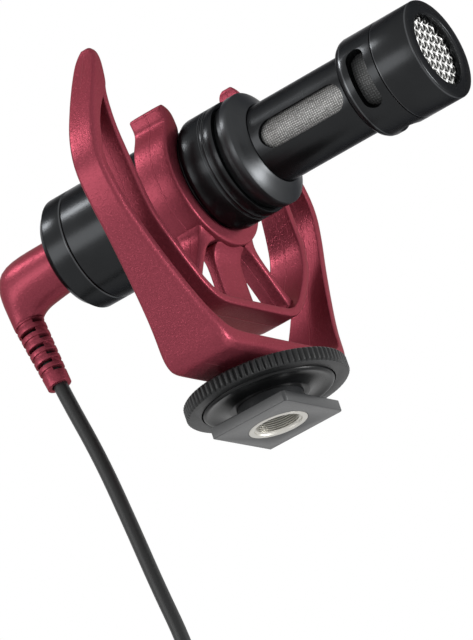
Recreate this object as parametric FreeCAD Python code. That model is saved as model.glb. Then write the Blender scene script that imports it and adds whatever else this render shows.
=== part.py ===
import FreeCAD, Part
import math
import os

V = FreeCAD.Vector

# Frame: origin at the centre of the foot's underside, +X forward along the
# microphone, +Y to its left, +Z up. Lengths in millimetres.

# Foot for a camera's accessory shoe, with its stem
foot_length = 16.3
foot_width = 18.6
foot_thickness = 2.05
foot_corner = 0.45
stem_radius = 6.1

# Insert in the foot, three-eighths inch thread
insert_radius = 5.48
insert_bore = 3.97
insert_length = 5.8

# Screw and trapped nut between foot and yoke
screw_radius = 1.45
screw_head_radius = 2.8
screw_head_height = 1.7
screw_slot_width = 0.8
screw_slot_depth = 0.75
screw_play = 0.05
nut_flats = 5.5
nut_height = 2.4
nut_cover = 0.5
nut_gap = 0.15

# Ribbed lock ring and the dished plate under it
shoe_gap = 3.44
ring_radius = 15.1
ring_height = 2.62
ring_ribs = 84
rib_depth = 0.45
ring_chamfer = 0.35
recess_radius = 12.4
recess_depth = 1.05
recess_play = 0.15
clamp_seat_play = 0.03
clamp_flat_radius = 10.4
clamp_hub_radius = 7.7
clamp_dish_drop = 0.8
thread_play = 0.08
ring_play = 0.05

# Lyre: outer yoke, inner strap
lyre_half_width = 35.2
lyre_height = 62.84
base_half_length = 7.2
boss_radius = 7.2
boss_merge = 0.8
yoke_thickness = 2.2
strap_thickness = 1.8
strap_half_length = 4.2

# Clip and its three spokes
mic_level_share = 0.622
clip_length = 7.4
clip_wall = 3.54
clip_play = 0.06
clip_opening = 72.0
lip_rise = 2.8
lip_start_angle = 142.0
lip_bend_angle = 131.5
lip_bend_rise = 0.45
lip_end_angle = 124.0
lip_back_angle = 127.5
lip_bulge_angle = 118.4
lip_bulge_rise = 0.4
web_thickness = 2.1
web_width = 8.8
strut_thickness = 1.8
strut_length = 4.6
strut_top_angle = 239.5
strut_foot_share = 0.426
strut_foot_rise = 2.3

# Microphone body
barrel_radius = 10.95
barrel_wall = 1.5
barrel_edge = 1.1
waist_drop = 1.05
core_fit = 0.05
core_wall = 0.8
side_play = 0.25
front_barrel_length = 8.05
rear_barrel_length = 18.9
rear_cap_length = 5.75
rear_bevel_length = 0.95
rear_bevel_depth = 1.4
rear_cap_edge = 0.55
rear_plate = 2.0
core_front_reach = 5.45
core_rear_reach = 15.7
band_groove_place = 5.2
band_groove_pair = 0.9
line_width = 0.3
line_depth = 0.22

# Collar between body and neck
collar_rear_length = 1.8
collar_groove_depth = 0.8
collar_rim_length = 1.7
collar_rim_drop = 0.05
collar_bevel_length = 1.9
collar_spigot_length = 2.4
collar_seat_depth = 3.1

# Neck tube with its windows
neck_share = 0.79
neck_wall = 0.96
neck_length = 20.6
neck_seat_play = 0.04
neck_entry = 1.4
window_length = 18.2
window_width = 5.3
window_margin = 1.6
window_count = 3
window_angle = 190.0
neck_mesh_wall = 0.3
neck_felt_wall = 0.5
mesh_fit = 0.05

# Head
head_radius = 9.57
slot_ring_length = 8.1
slot_ring_step = 0.34
slot_ring_edge = 1.5
slot_width = 3.7
slot_sweep = 70.0
slot_place = 2.8
slot_count = 3
slot_angle = 190.0
slot_mesh_wall = 0.3
spigot_drop = 1.02
spigot_fit = 0.05
spigot_length = 2.2
head_cap_length = 8.16
head_lip_depth = 1.6
head_lip_wall = 2.67
head_edge = 0.4
grille_thickness = 0.5
grille_pitch = 1.35
grille_hole = 0.95
foam_thickness = 2.4

# Capsule, its holder and leads
capsule_length = 5.8
capsule_gap = 0.3
capsule_rim = 0.5
holder_length = 5.2
holder_wall = 1.6
holder_fit = 0.03
lead_radius = 0.35
lead_spread = 1.6
lead_overlap = 1.2

# Preamplifier board
board_thickness = 1.0
board_gap = 1.85
board_drop = 1.0
board_play = 0.08
can_radius = 2.0
can_height = 4.2
transistor_length = 2.9
transistor_width = 1.6
transistor_height = 1.1
chip_length = 1.6
chip_width = 0.8
chip_height = 0.5

# Socket in the rear cap
jack_nose_radius = 3.0
jack_block = 8.4
jack_length = 13.9
jack_bore = 1.82
jack_end_wall = 0.6
jack_fit = 0.05
leaf_width = 1.2
leaf_thickness = 0.4
leaf_length = 10.0
leaf_spread = 2.4

# Right-angle plug
plug_gap = 0.12
pin_radius = 1.75
sleeve_length = 5.4
pin_ring_length = 2.2
pin_insulator_length = 0.6
tip_length = 3.6
tip_neck_radius = 1.05
pin_rings = 2
collar_radius = 5.4
collar_width = 1.1
plug_leg_radius = 5.05
plug_reach = 11.5
plug_drop = 7.15
plug_drop_radius = 2.95
plug_lean = 1.75
relief_length = 13.6
relief_top_radius = 2.9
relief_end_radius = 2.3
relief_lean = 2.1
relief_slots = 7
relief_pitch = 1.68
relief_first = 0.35
relief_slot_height = 0.85
relief_slot_half = 1.7
relief_groove = 0.35
relief_play = 0.1

# Cable, its coil and the far plug
cable_radius = 1.4
coil_first_radius = 17.0
coil_step = 3.3
coil_climb_radius = 12.05
coil_tail = 2.8
tie_wall = 0.9
tie_height = 6.0
tie_play = 0.2
tie_slack = 0.45
far_relief_length = 9.0
far_relief_radius = 2.8
far_body_radius = 3.6
far_body_length = 15.0
far_body_edge = 0.8

overrun = 1.0
full_turn = 360.0

# Levels and places that follow from the sizes above
ring_bottom = foot_thickness + shoe_gap
ring_top = ring_bottom + ring_height
base_bottom = ring_top + ring_play
mic_z = base_bottom + mic_level_share * lyre_height
clip_half = clip_length / 2
waist_half = clip_half + side_play
barrel_bore = barrel_radius - barrel_wall
waist_radius = barrel_radius - waist_drop
clip_bore = waist_radius + clip_play
clip_outer = clip_bore + clip_wall
lip_reach = clip_outer + lip_rise
core_radius = barrel_bore - core_fit
core_bore = core_radius - core_wall
neck_radius = neck_share * head_radius
neck_bore = neck_radius - neck_wall
slot_ring_bore = neck_radius + slot_ring_step
spigot_radius = head_radius - spigot_drop
head_cap_bore = spigot_radius + spigot_fit
head_lip_bore = head_radius - head_lip_wall
capsule_radius = core_bore - holder_wall
barrel_front = waist_half + front_barrel_length
rim_rear = barrel_front + collar_rear_length
rim_front = rim_rear + collar_rim_length
neck_start = rim_front + collar_bevel_length
head_rear = neck_start + neck_length
head_split = head_rear + slot_ring_length
mic_front = head_split + head_cap_length
rear_split = -waist_half - rear_barrel_length
mic_rear = rear_split - rear_cap_length
plug_face = mic_rear - plug_gap
elbow_x = plug_face - plug_reach
axis = V(0, 0, mic_z)
along = V(1, 0, 0)
up = V(0, 0, 1)


def save(name, shape):
    """Write one piece as its own file."""
    solids = shape.Solids
    kept = solids[0] if len(solids) == 1 else Part.makeCompound(solids)
    kept.exportStep("parts/" + name + ".step")
    print(name, len(solids), "solids", round(shape.Volume, 1), "mm3", shape.isValid())


def closed_face(points):
    """Flat face inside a closed outline of straight edges."""
    return Part.Face(Part.makePolygon(points + points[:1]))


def turned(profile, base=axis, direction=along):
    """Solid of revolution; profile gives (distance along the axis, radius)."""
    across = up if direction == along else along
    points = [base + direction * place + across * radius for place, radius in profile]
    return closed_face(points).revolve(base, direction, full_turn)


def turned_up(profile):
    """Solid of revolution about the foot's own axis; profile gives (height, radius)."""
    return turned(profile, V(0, 0, 0), up)


def rod(start, end, radius, level=axis):
    """Cylinder along the microphone's axis between two places."""
    return Part.makeCylinder(radius, end - start, level + along * start, along)


def sleeve(start, end, outer, inner):
    """Tube along the microphone's axis between two places."""
    return rod(start, end, outer).cut(rod(start - overrun, end + overrun, inner))


def post(bottom, top, radius):
    """Cylinder about the foot's own axis."""
    return Part.makeCylinder(radius, top - bottom, V(0, 0, bottom), up)


def block(low, high):
    """Box between two corners."""
    size = high - low
    return Part.makeBox(size.x, size.y, size.z, low)


def circle_edges(shape, radius, place):
    """Circular edges about the microphone's axis with this radius at this place."""
    near = line_depth / 10
    found = []
    for edge in shape.Edges:
        curve = edge.Curve
        if isinstance(curve, Part.Circle) and abs(curve.Radius - radius) < near:
            if abs(curve.Center.x - place) < near and abs(abs(curve.Axis.x) - 1) < near:
                found.append(edge)
    return found


def groove(place, radius, width=line_width, depth=line_depth):
    """Ring to cut a turned line into a tube."""
    return sleeve(place - width / 2, place + width / 2, radius + overrun, radius - depth)


def spun(shape, angle):
    """Copy of a shape turned about the microphone's axis."""
    return shape.rotated(axis, along, angle)


def spline_through(points):
    """Smooth curve through points."""
    curve = Part.BSplineCurve()
    curve.interpolate(points)
    return curve


def inset_points(curve, points, distances):
    """Points set in from a curve in the YZ plane, to the right of its direction."""
    moved = []
    for point, distance in zip(points, distances):
        tangent = curve.tangent(curve.parameter(point))[0]
        moved.append(point + V(0, -tangent.z, tangent.y) * distance)
    return moved


def lyre_points(shares):
    """Points of the lyre's front view from shares of its half width and height."""
    return [V(0, side * lyre_half_width, base_bottom + rise * lyre_height) for side, rise in shares]


def nut_top():
    """Upper face of the nut, under the skin of the yoke's base."""
    return lyre_points(base_top_shares)[0].z - nut_cover


def stem_top():
    """Upper end of the foot's stem, just under the nut."""
    return nut_top() - nut_height - nut_gap


def mirrored(shape):
    """Copy of a shape on the other side of the middle plane."""
    return shape.mirror(V(0, 0, 0), V(0, 1, 0))


# Front view of the lyre, from the base upwards
yoke_outer_shares = [
    (0.603, 0.090), (0.653, 0.141), (0.736, 0.236), (0.821, 0.332), (0.903, 0.427),
    (0.969, 0.523), (1.000, 0.618), (0.983, 0.666), (0.943, 0.729), (0.881, 0.793),
    (0.812, 0.857), (0.740, 0.920), (0.668, 0.982),
]
base_corner_shares = [(0.520, 0.0300), (0.578, 0.048)]
horn_tip_shares = [(0.668, 0.982), (0.646, 1.0), (0.625, 0.984)]
horn_inner_shares = [(0.625, 0.984), (0.653, 0.920), (0.696, 0.8456)]
strap_outer_shares = [
    (0.747, 0.8456), (0.753, 0.793), (0.756, 0.729), (0.744, 0.666), (0.733, 0.602),
    (0.716, 0.475), (0.676, 0.411), (0.611, 0.3475), (0.523, 0.284), (0.474, 0.252),
    (0.410, 0.216), (0.284, 0.198),
]
strap_wall_shares = [1.0, 0.8, 0.78, 0.9, 1.0, 1.0, 1.0, 1.0, 1.0, 1.0, 1.0, 1.0]
base_top_shares = [(0.369, 0.0835), (0.483, 0.0905), (0.548, 0.115)]
gap_last = 11

# Side view of the lyre: half lengths as shares, against height shares
yoke_side_shares = [
    (0.74, 0.0300), (0.91, 0.042), (0.96, 0.066), (0.930, 0.095), (0.806, 0.141), (0.708, 0.189),
    (0.639, 0.236),
    (0.528, 0.332), (0.444, 0.427), (0.417, 0.523), (0.405, 0.618), (0.417, 0.700),
    (0.392, 0.793), (0.360, 0.920), (0.335, 0.960),
]
yoke_end_shares = [(0.335, 0.960), (0.225, 0.989), (0.0, 1.0)]
strap_side_shares = [
    (1.0, 0.19), (1.0, 0.30), (0.98, 0.37), (0.90, 0.43), (0.82, 0.49),
    (0.73, 0.56), (0.69, 0.63), (0.69, 0.75), (0.69, 0.8456),
]


def side_solid(shares, end_shares, half_length, bottom_share):
    """Slab whose length along X follows the height, for cutting the lyre's sides."""
    def place(half, rise):
        return V(half * half_length, -lyre_half_width - overrun, base_bottom + rise * lyre_height)

    right = [place(half, rise) for half, rise in shares]
    left = [place(-half, rise) for half, rise in reversed(shares)]
    edges = [spline_through(right).toShape()]
    if end_shares:
        first, middle, last = [place(half, rise) for half, rise in end_shares]
        across = place(-end_shares[1][0], end_shares[1][1])
        edges.append(Part.Arc(first, middle, last).toShape())
        edges.append(Part.Arc(last, across, left[0]).toShape())
    else:
        edges.append(Part.LineSegment(right[-1], left[0]).toShape())
    edges.append(spline_through(left).toShape())
    bottom_left = V(left[-1].x, left[-1].y, base_bottom + bottom_share * lyre_height)
    bottom_right = V(right[0].x, right[0].y, bottom_left.z)
    if (bottom_left - left[-1]).Length > 0:
        edges.append(Part.LineSegment(left[-1], bottom_left).toShape())
        edges.append(Part.LineSegment(bottom_left, bottom_right).toShape())
        edges.append(Part.LineSegment(bottom_right, right[0]).toShape())
    else:
        edges.append(Part.LineSegment(left[-1], right[0]).toShape())
    return Part.Face(Part.Wire(edges)).extrude(V(0, 2 * (lyre_half_width + overrun), 0))


def yoke_half():
    """One arm of the yoke with half of its base, as a slab."""
    outer = lyre_points(yoke_outer_shares)
    outer_curve = spline_through(outer)
    inner = inset_points(outer_curve, outer[1:gap_last], [yoke_thickness] * (gap_last - 1))
    corner = lyre_points(base_corner_shares)
    tip = lyre_points(horn_tip_shares)
    horn = lyre_points(horn_inner_shares)
    crotch = lyre_points(strap_outer_shares)[0]
    shelf = lyre_points(base_top_shares)
    gap_points = [crotch] + list(reversed(inner)) + list(reversed(shelf))
    edges = [
        Part.LineSegment(V(0, 0, corner[0].z), corner[0]).toShape(),
        Part.Arc(corner[0], corner[1], outer[0]).toShape(),
        outer_curve.toShape(),
        Part.Arc(*tip).toShape(),
        Part.Arc(*horn).toShape(),
        Part.LineSegment(horn[-1], crotch).toShape(),
        spline_through(gap_points).toShape(),
        Part.LineSegment(shelf[0], V(0, 0, shelf[0].z)).toShape(),
        Part.LineSegment(V(0, 0, shelf[0].z), V(0, 0, corner[0].z)).toShape(),
    ]
    slab = Part.Face(Part.Wire(edges)).extrude(along * (2 * base_half_length))
    slab.translate(along * -base_half_length)
    return slab


def make_yoke():
    """Outer yoke: base block, two arms and horns, with seats for stem, screw and nut."""
    arm = yoke_half()
    sides = side_solid(yoke_side_shares, yoke_end_shares, base_half_length, yoke_side_shares[0][1])
    yoke = arm.common(sides)
    boss_top = lyre_points(base_corner_shares)[0].z + boss_merge
    yoke = yoke.fuse([mirrored(yoke), post(base_bottom, boss_top, boss_radius)]).removeSplitter()
    yoke = yoke.cut(post(base_bottom - overrun, stem_top(), stem_radius + screw_play))
    yoke = yoke.cut(post(base_bottom, nut_top(), screw_radius + screw_play))
    return yoke.cut(nut_block(screw_play))


def nut_block(play):
    """Hexagonal prism at the nut's place, larger by a play on each flat."""
    reach = (nut_flats / 2 + play) / math.cos(math.pi / 6)
    corners = [V(reach * math.cos(math.radians(turn)), reach * math.sin(math.radians(turn)),
                 nut_top() - nut_height)
               for turn in range(0, 360, 60)]
    return closed_face(corners).extrude(up * nut_height)


def strap_half():
    """Half of the inner strap, as a slab."""
    outer = lyre_points(strap_outer_shares)
    curve = spline_through(outer)
    walls = [share * strap_thickness for share in strap_wall_shares]
    inner = inset_points(curve, outer, [-wall for wall in walls])
    root = lyre_points(horn_inner_shares)[-1]
    inner[0] = root
    floor_inner = V(0, inner[-1].y, outer[-1].z + strap_thickness)
    inner[-1] = floor_inner
    edges = [
        curve.toShape(),
        Part.LineSegment(outer[-1], V(0, 0, outer[-1].z)).toShape(),
        Part.LineSegment(V(0, 0, outer[-1].z), V(0, 0, floor_inner.z)).toShape(),
        Part.LineSegment(V(0, 0, floor_inner.z), floor_inner).toShape(),
        spline_through(list(reversed(inner))).toShape(),
        Part.LineSegment(root, outer[0]).toShape(),
    ]
    slab = Part.Face(Part.Wire(edges)).extrude(along * (2 * strap_half_length))
    slab.translate(along * -strap_half_length)
    return slab


def make_strap():
    """Inner strap: one ribbon from horn to horn, with a flat floor."""
    sides = side_solid(strap_side_shares, None, strap_half_length, strap_side_shares[0][1])
    half = strap_half().common(sides)
    return half.fuse(mirrored(half)).removeSplitter()


def clip_point(angle, radius):
    """Point of the clip's front view from an angle and a distance to the axis."""
    turn = math.radians(angle)
    return V(-clip_half, radius * math.cos(turn), mic_z + radius * math.sin(turn))


def make_lip():
    """One flared lip of the clip, on the right-hand side."""
    back = Part.Arc(clip_point(lip_start_angle, clip_outer - overrun),
                    clip_point(lip_bend_angle, clip_outer + lip_bend_rise),
                    clip_point(lip_back_angle, lip_reach)).toShape()
    tip = Part.LineSegment(clip_point(lip_back_angle, lip_reach),
                           clip_point(lip_end_angle, lip_reach)).toShape()
    half_opening = (180.0 - clip_opening) / 2
    bulge = clip_point(lip_bulge_angle, clip_outer + lip_bulge_rise)
    inner = Part.Arc(clip_point(lip_end_angle, lip_reach), bulge,
                     clip_point(180.0 - half_opening, clip_bore)).toShape()
    close = Part.LineSegment(clip_point(180.0 - half_opening, clip_bore),
                             clip_point(lip_start_angle, clip_outer - overrun)).toShape()
    return Part.Face(Part.Wire([back, tip, inner, close])).extrude(along * clip_length)


def make_strut():
    """One slanted spoke from the clip's ring down to the strap's corner."""
    top = clip_point(strut_top_angle, clip_outer - overrun)
    foot = V(-clip_half, -strut_foot_share * lyre_half_width, strap_floor() + strut_foot_rise)
    line = foot - top
    line.normalize()
    side = V(0, -line.z, line.y) * (strut_thickness / 2)
    end = foot + line * (strap_thickness / 2)
    strut = closed_face([top + side, end + side, end - side, top - side]).extrude(along * strut_length)
    strut.translate(along * (clip_half - strut_length / 2))
    return strut


def strap_floor():
    """Level of the strap's inner floor."""
    return lyre_points(strap_outer_shares)[-1].z + strap_thickness


def make_clip(strap):
    """Open clip with flared lips, a centre web and two struts on the strap."""
    ring = sleeve(-clip_half, clip_half, clip_outer, clip_bore)
    reach = lip_reach + overrun
    half_turn = math.radians(clip_opening / 2)
    wedge = closed_face([
        V(-clip_half - overrun, 0, mic_z),
        V(-clip_half - overrun, reach * math.sin(half_turn), mic_z + reach * math.cos(half_turn)),
        V(-clip_half - overrun, 0, mic_z + 2 * reach),
        V(-clip_half - overrun, -reach * math.sin(half_turn), mic_z + reach * math.cos(half_turn)),
    ]).extrude(along * (clip_length + 2 * overrun))
    bore = rod(-clip_half - overrun, clip_half + overrun, clip_bore)
    lip = make_lip()
    strut = make_strut()
    web = block(V(-web_thickness / 2, -web_width / 2, strap_floor()),
                V(web_thickness / 2, web_width / 2, mic_z - clip_bore))
    clip = ring.cut(wedge).fuse([lip, mirrored(lip), strut, mirrored(strut), web])
    return clip.cut(bore).cut(strap).removeSplitter()


def make_foot():
    """Shoe plate and stem, bored for insert and screw."""
    half_x = foot_length / 2
    half_y = foot_width / 2
    plate = closed_face([
        V(-half_x, -half_y, 0), V(half_x - foot_corner, -half_y, 0), V(half_x, foot_corner - half_y, 0),
        V(half_x, half_y - foot_corner, 0), V(half_x - foot_corner, half_y, 0), V(-half_x, half_y, 0),
    ]).extrude(up * foot_thickness)
    foot = plate.fuse(post(0, stem_top(), stem_radius)).removeSplitter()
    foot = foot.cut(post(-overrun, insert_length, insert_radius))
    foot = foot.cut(post(insert_length, insert_length + screw_head_height + screw_play,
                         screw_head_radius + screw_play))
    return foot.cut(post(0, stem_top() + overrun, screw_radius + screw_play))


def make_insert():
    """Metal insert with its thread's minor bore."""
    tube = post(0, insert_length, insert_radius)
    return tube.cut(post(-overrun, insert_length + overrun, insert_bore))


def make_screw():
    """Screw from the bottom of the insert up into the nut."""
    head_bottom = insert_length + screw_play
    head = post(head_bottom, head_bottom + screw_head_height, screw_head_radius)
    shank = post(head_bottom, nut_top() - screw_play, screw_radius)
    slot = block(V(-screw_head_radius, -screw_slot_width / 2, head_bottom - overrun),
                 V(screw_head_radius, screw_slot_width / 2, head_bottom + screw_slot_depth))
    return head.fuse(shank).removeSplitter().cut(slot)


def make_nut():
    """Hexagonal nut trapped in the yoke's base."""
    bore = post(nut_top() - nut_height - overrun, nut_top() + overrun, screw_radius + screw_play)
    return nut_block(0).cut(bore)


def make_ring():
    """Round nut with ribs on its rim and a recess under it for the plate."""
    corners = []
    for rib in range(ring_ribs):
        for turn, radius in ((0.0, ring_radius), (0.35, ring_radius), (0.6, ring_radius - rib_depth)):
            angle = 2 * math.pi * (rib + turn) / ring_ribs
            corners.append(V(radius * math.cos(angle), radius * math.sin(angle), ring_bottom))
    body = closed_face(corners).extrude(up * ring_height)
    bevel = turned_up([
        (ring_bottom, 0), (ring_bottom, ring_radius - ring_chamfer),
        (ring_bottom + ring_chamfer, ring_radius), (ring_top - ring_chamfer, ring_radius),
        (ring_top, ring_radius - ring_chamfer), (ring_top, 0),
    ])
    body = body.common(bevel)
    body = body.cut(post(ring_bottom - overrun, ring_bottom + recess_depth, recess_radius))
    return body.cut(post(ring_bottom - overrun, ring_top + overrun, stem_radius + thread_play))


def make_clamp_plate():
    """Dished plate in the ring's recess that presses on the shoe."""
    bore = stem_radius + thread_play
    top = ring_bottom + recess_depth - clamp_seat_play
    low = ring_bottom - clamp_dish_drop
    return turned_up([
        (low, bore), (low, clamp_hub_radius), (ring_bottom, clamp_flat_radius),
        (ring_bottom, recess_radius - recess_play), (top, recess_radius - recess_play), (top, bore),
    ])


def make_front_barrel():
    """Body tube in front of the clip, with a double turned line."""
    tube = sleeve(waist_half, barrel_front, barrel_radius, barrel_bore)
    tube = tube.makeFillet(barrel_edge, circle_edges(tube, barrel_radius, waist_half))
    first = waist_half + band_groove_place
    return tube.cut(groove(first, barrel_radius)).cut(groove(first + band_groove_pair, barrel_radius))


def make_rear_barrel():
    """Body tube behind the clip."""
    tube = sleeve(rear_split, -waist_half, barrel_radius, barrel_bore)
    tube = tube.makeFillet(barrel_edge, circle_edges(tube, barrel_radius, -waist_half))
    return tube.makeChamfer(line_depth, circle_edges(tube, barrel_radius, rear_split))


def make_rear_cap():
    """Rear end of the body, with a spigot and the socket's hole."""
    spigot_end = rear_split + rear_cap_length / 2
    bevel = mic_rear + rear_bevel_length
    return turned([
        (mic_rear, jack_nose_radius + jack_fit), (mic_rear, barrel_radius - rear_bevel_depth),
        (bevel, barrel_radius - rear_cap_edge), (bevel + rear_cap_edge, barrel_radius),
        (rear_split - line_depth, barrel_radius), (rear_split, barrel_radius - line_depth),
        (rear_split, core_radius), (spigot_end, core_radius), (spigot_end, core_bore),
        (mic_rear + rear_plate, core_bore), (mic_rear + rear_plate, jack_nose_radius + jack_fit),
    ])


def make_core():
    """Inner tube that joins the barrels and shows as the waist in the clip."""
    rear = -waist_half - core_rear_reach
    front = waist_half + core_front_reach
    return turned([
        (rear, core_bore), (rear, core_radius), (-waist_half, core_radius), (-waist_half, waist_radius),
        (waist_half, waist_radius), (waist_half, core_radius), (front, core_radius), (front, core_bore),
    ])


def make_collar():
    """Bevelled collar that carries the neck tube."""
    seat = neck_start - collar_seat_depth
    spigot = barrel_front - collar_spigot_length
    groove_radius = barrel_radius - collar_groove_depth
    rim_radius = barrel_radius - collar_rim_drop
    tube = turned([
        (spigot, core_bore), (spigot, core_radius), (barrel_front, core_radius),
        (barrel_front, groove_radius), (rim_rear, groove_radius),
        (rim_rear, rim_radius), (rim_front, rim_radius),
        (neck_start, neck_radius + line_depth), (neck_start, neck_radius + neck_seat_play),
        (seat, neck_radius + neck_seat_play), (seat, core_bore),
    ])
    return tube


def racetrack(start, end, width):
    """Cutter for one long window with round ends, pointing along +Y from the axis."""
    radius = width / 2
    reach = neck_radius + overrun
    cutter = block(V(start + radius, 0, mic_z - radius), V(end - radius, reach, mic_z + radius))
    for place in (start + radius, end - radius):
        cutter = cutter.fuse(Part.makeCylinder(radius, reach, V(place, 0, mic_z), V(0, 1, 0)))
    return cutter.removeSplitter()


def make_neck():
    """Slim tube with its windows."""
    tube = sleeve(neck_start - collar_seat_depth, head_rear + neck_entry, neck_radius, neck_bore)
    window = racetrack(neck_start + window_margin, neck_start + window_margin + window_length, window_width)
    for number in range(window_count):
        tube = tube.cut(spun(window, window_angle + number * full_turn / window_count))
    return tube


def make_neck_mesh():
    """Mesh sleeve inside the neck tube."""
    outer = neck_bore - mesh_fit
    start = neck_start
    return sleeve(start, start + 2 * window_margin + window_length, outer, outer - neck_mesh_wall)


def make_neck_felt():
    """Acoustic cloth sleeve inside the mesh."""
    outer = neck_bore - 2 * mesh_fit - neck_mesh_wall
    start = neck_start
    return sleeve(start, start + 2 * window_margin + window_length, outer, outer - neck_felt_wall)


def make_slot_ring():
    """Rear half of the head, slotted, with a spigot for the front sleeve."""
    seat = head_rear + neck_entry
    ring = turned([
        (head_rear, neck_radius + neck_seat_play), (head_rear, head_radius), (head_split, head_radius),
        (head_split, spigot_radius), (head_split + spigot_length, spigot_radius),
        (head_split + spigot_length, slot_ring_bore), (seat, slot_ring_bore),
        (seat, neck_radius + neck_seat_play),
    ])
    ring = ring.makeFillet(slot_ring_edge, circle_edges(ring, head_radius, head_rear))
    start = head_rear + slot_place
    radius = slot_width / 2
    reach = head_radius + overrun
    half_sweep = math.radians(slot_sweep / 2) - math.asin(radius / head_radius)
    wedge = closed_face([
        V(start, 0, mic_z), V(start, reach, mic_z - reach * math.tan(half_sweep)),
        V(start, reach, mic_z + reach * math.tan(half_sweep)),
    ]).extrude(along * slot_width)
    end = Part.makeCylinder(radius, reach, V(start + radius, 0, mic_z), V(0, 1, 0))
    for number in range(slot_count):
        angle = slot_angle + number * full_turn / slot_count
        ring = ring.cut(spun(wedge, angle))
        for turn in (-math.degrees(half_sweep), math.degrees(half_sweep)):
            ring = ring.cut(spun(end, angle + turn))
    return ring


def make_slot_mesh():
    """Fine mesh sleeve behind the slots."""
    outer = slot_ring_bore - mesh_fit
    start = head_rear + neck_entry
    return sleeve(start, head_split + spigot_length, outer, outer - slot_mesh_wall)


def make_head_cap():
    """Front sleeve of the head with its recessed front."""
    lip = mic_front - head_lip_depth
    return turned([
        (head_split, head_cap_bore), (head_split, head_radius - line_depth),
        (head_split + line_depth, head_radius), (mic_front - head_edge, head_radius),
        (mic_front, head_radius - head_edge), (mic_front, head_lip_bore + head_edge / 2),
        (mic_front - head_edge / 2, head_lip_bore), (lip, head_lip_bore), (lip, head_cap_bore),
    ])


def make_front_mesh():
    """Flat woven grille behind the head's front lip, one disc with square holes."""
    front = mic_front - head_lip_depth - mesh_fit
    back = front - grille_thickness
    radius = head_cap_bore - mesh_fit
    wires = [Part.Wire(Part.makeCircle(radius, V(back, 0, mic_z), along))]
    half = grille_hole / math.sqrt(2)
    count = int(radius / grille_pitch * math.sqrt(2)) + 1
    step = grille_pitch / math.sqrt(2)
    for row in range(-count, count + 1):
        for column in range(-count, count + 1):
            side = (row + column) * step
            rise = (row - column) * step
            if math.hypot(side, rise) > radius - grille_pitch:
                continue
            corners = [V(back, side + half, mic_z + rise), V(back, side, mic_z + rise + half),
                       V(back, side - half, mic_z + rise), V(back, side, mic_z + rise - half)]
            wires.append(Part.makePolygon(corners + corners[:1]))
    face = Part.makeFace(wires, "Part::FaceMakerBullseye")
    return face.extrude(along * grille_thickness)


def make_head_foam():
    """Foam disc behind the grille."""
    front = mic_front - head_lip_depth - 2 * mesh_fit - grille_thickness
    return rod(front - foam_thickness, front, head_cap_bore - mesh_fit)


def capsule_front():
    """Place of the capsule's front face, just behind the neck tube."""
    return neck_start - collar_seat_depth - capsule_gap


def make_capsule():
    """Electret capsule: a can with a rolled rim and a recessed front."""
    front = capsule_front()
    back = front - capsule_length
    return turned([
        (back, 0), (back, capsule_radius), (front, capsule_radius), (front, capsule_radius - capsule_rim),
        (front - capsule_rim, capsule_radius - capsule_rim), (front - capsule_rim, 0),
    ])


def make_capsule_holder():
    """Rubber ring round the capsule."""
    middle = capsule_front() - capsule_length / 2
    return sleeve(middle - holder_length / 2, middle + holder_length / 2,
                  core_bore - holder_fit, capsule_radius + holder_fit)


def board_top():
    """Level of the board's upper face."""
    return mic_z - board_drop


def board_rear():
    """Rear end of the board, at the socket."""
    return mic_rear + rear_plate + jack_length + jack_fit


def board_front():
    """Front end of the board, just behind the capsule."""
    return capsule_front() - capsule_length - board_gap


def make_board():
    """Circuit board across the inner tube."""
    depth = board_drop + board_thickness
    half = math.sqrt(core_bore ** 2 - depth ** 2) - board_play
    front = board_front()
    return block(V(board_rear(), -half, board_top() - board_thickness),
                 V(front, half, board_top()))


def make_board_parts():
    """Two capacitors, a transistor and four resistors on the board."""
    rear = board_rear()
    board_length = board_front() - rear
    top = board_top()
    parts = []
    for step in (1, 2):
        place = V(rear + step * board_length / 4, can_radius + chip_length, top)
        parts.append(Part.makeCylinder(can_radius, can_height, place, up))
    low = V(rear + board_length * 2 / 3, -transistor_length, top)
    parts.append(block(low, low + V(transistor_width, transistor_length, transistor_height)))
    for step in (1, 2, 3, 4):
        low = V(rear + step * board_length / 6, -chip_length - transistor_length, top)
        parts.append(block(low, low + V(chip_width, chip_length, chip_height)))
    return Part.makeCompound(parts)


def make_leads():
    """Two wires from the capsule's back to the board."""
    back = capsule_front() - capsule_length
    start = board_front() - lead_overlap
    wires = []
    for side in (-lead_spread, lead_spread):
        wires.append(rod(start, back, lead_radius, V(0, side, board_top() + lead_radius)))
    return Part.makeCompound(wires)


def make_jack():
    """Socket block with its nose in the rear cap."""
    seat = mic_rear + rear_plate
    half = jack_block / 2
    body = block(V(seat, -half, mic_z - half), V(seat + jack_length, half, mic_z + half))
    nose = rod(mic_rear, seat, jack_nose_radius)
    hole = rod(mic_rear - overrun, seat + jack_length - jack_end_wall, jack_bore)
    return body.fuse(nose).removeSplitter().cut(hole)


def make_jack_contacts():
    """Three contact strips on top of the socket block, out over the board."""
    end = mic_rear + rear_plate + jack_length
    level = mic_z + jack_block / 2
    strips = []
    for side in (-leaf_spread, 0, leaf_spread):
        low = V(end - leaf_length, side - leaf_width / 2, level)
        strips.append(block(low, low + V(leaf_length, leaf_width, leaf_thickness)))
    return Part.makeCompound(strips)


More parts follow.
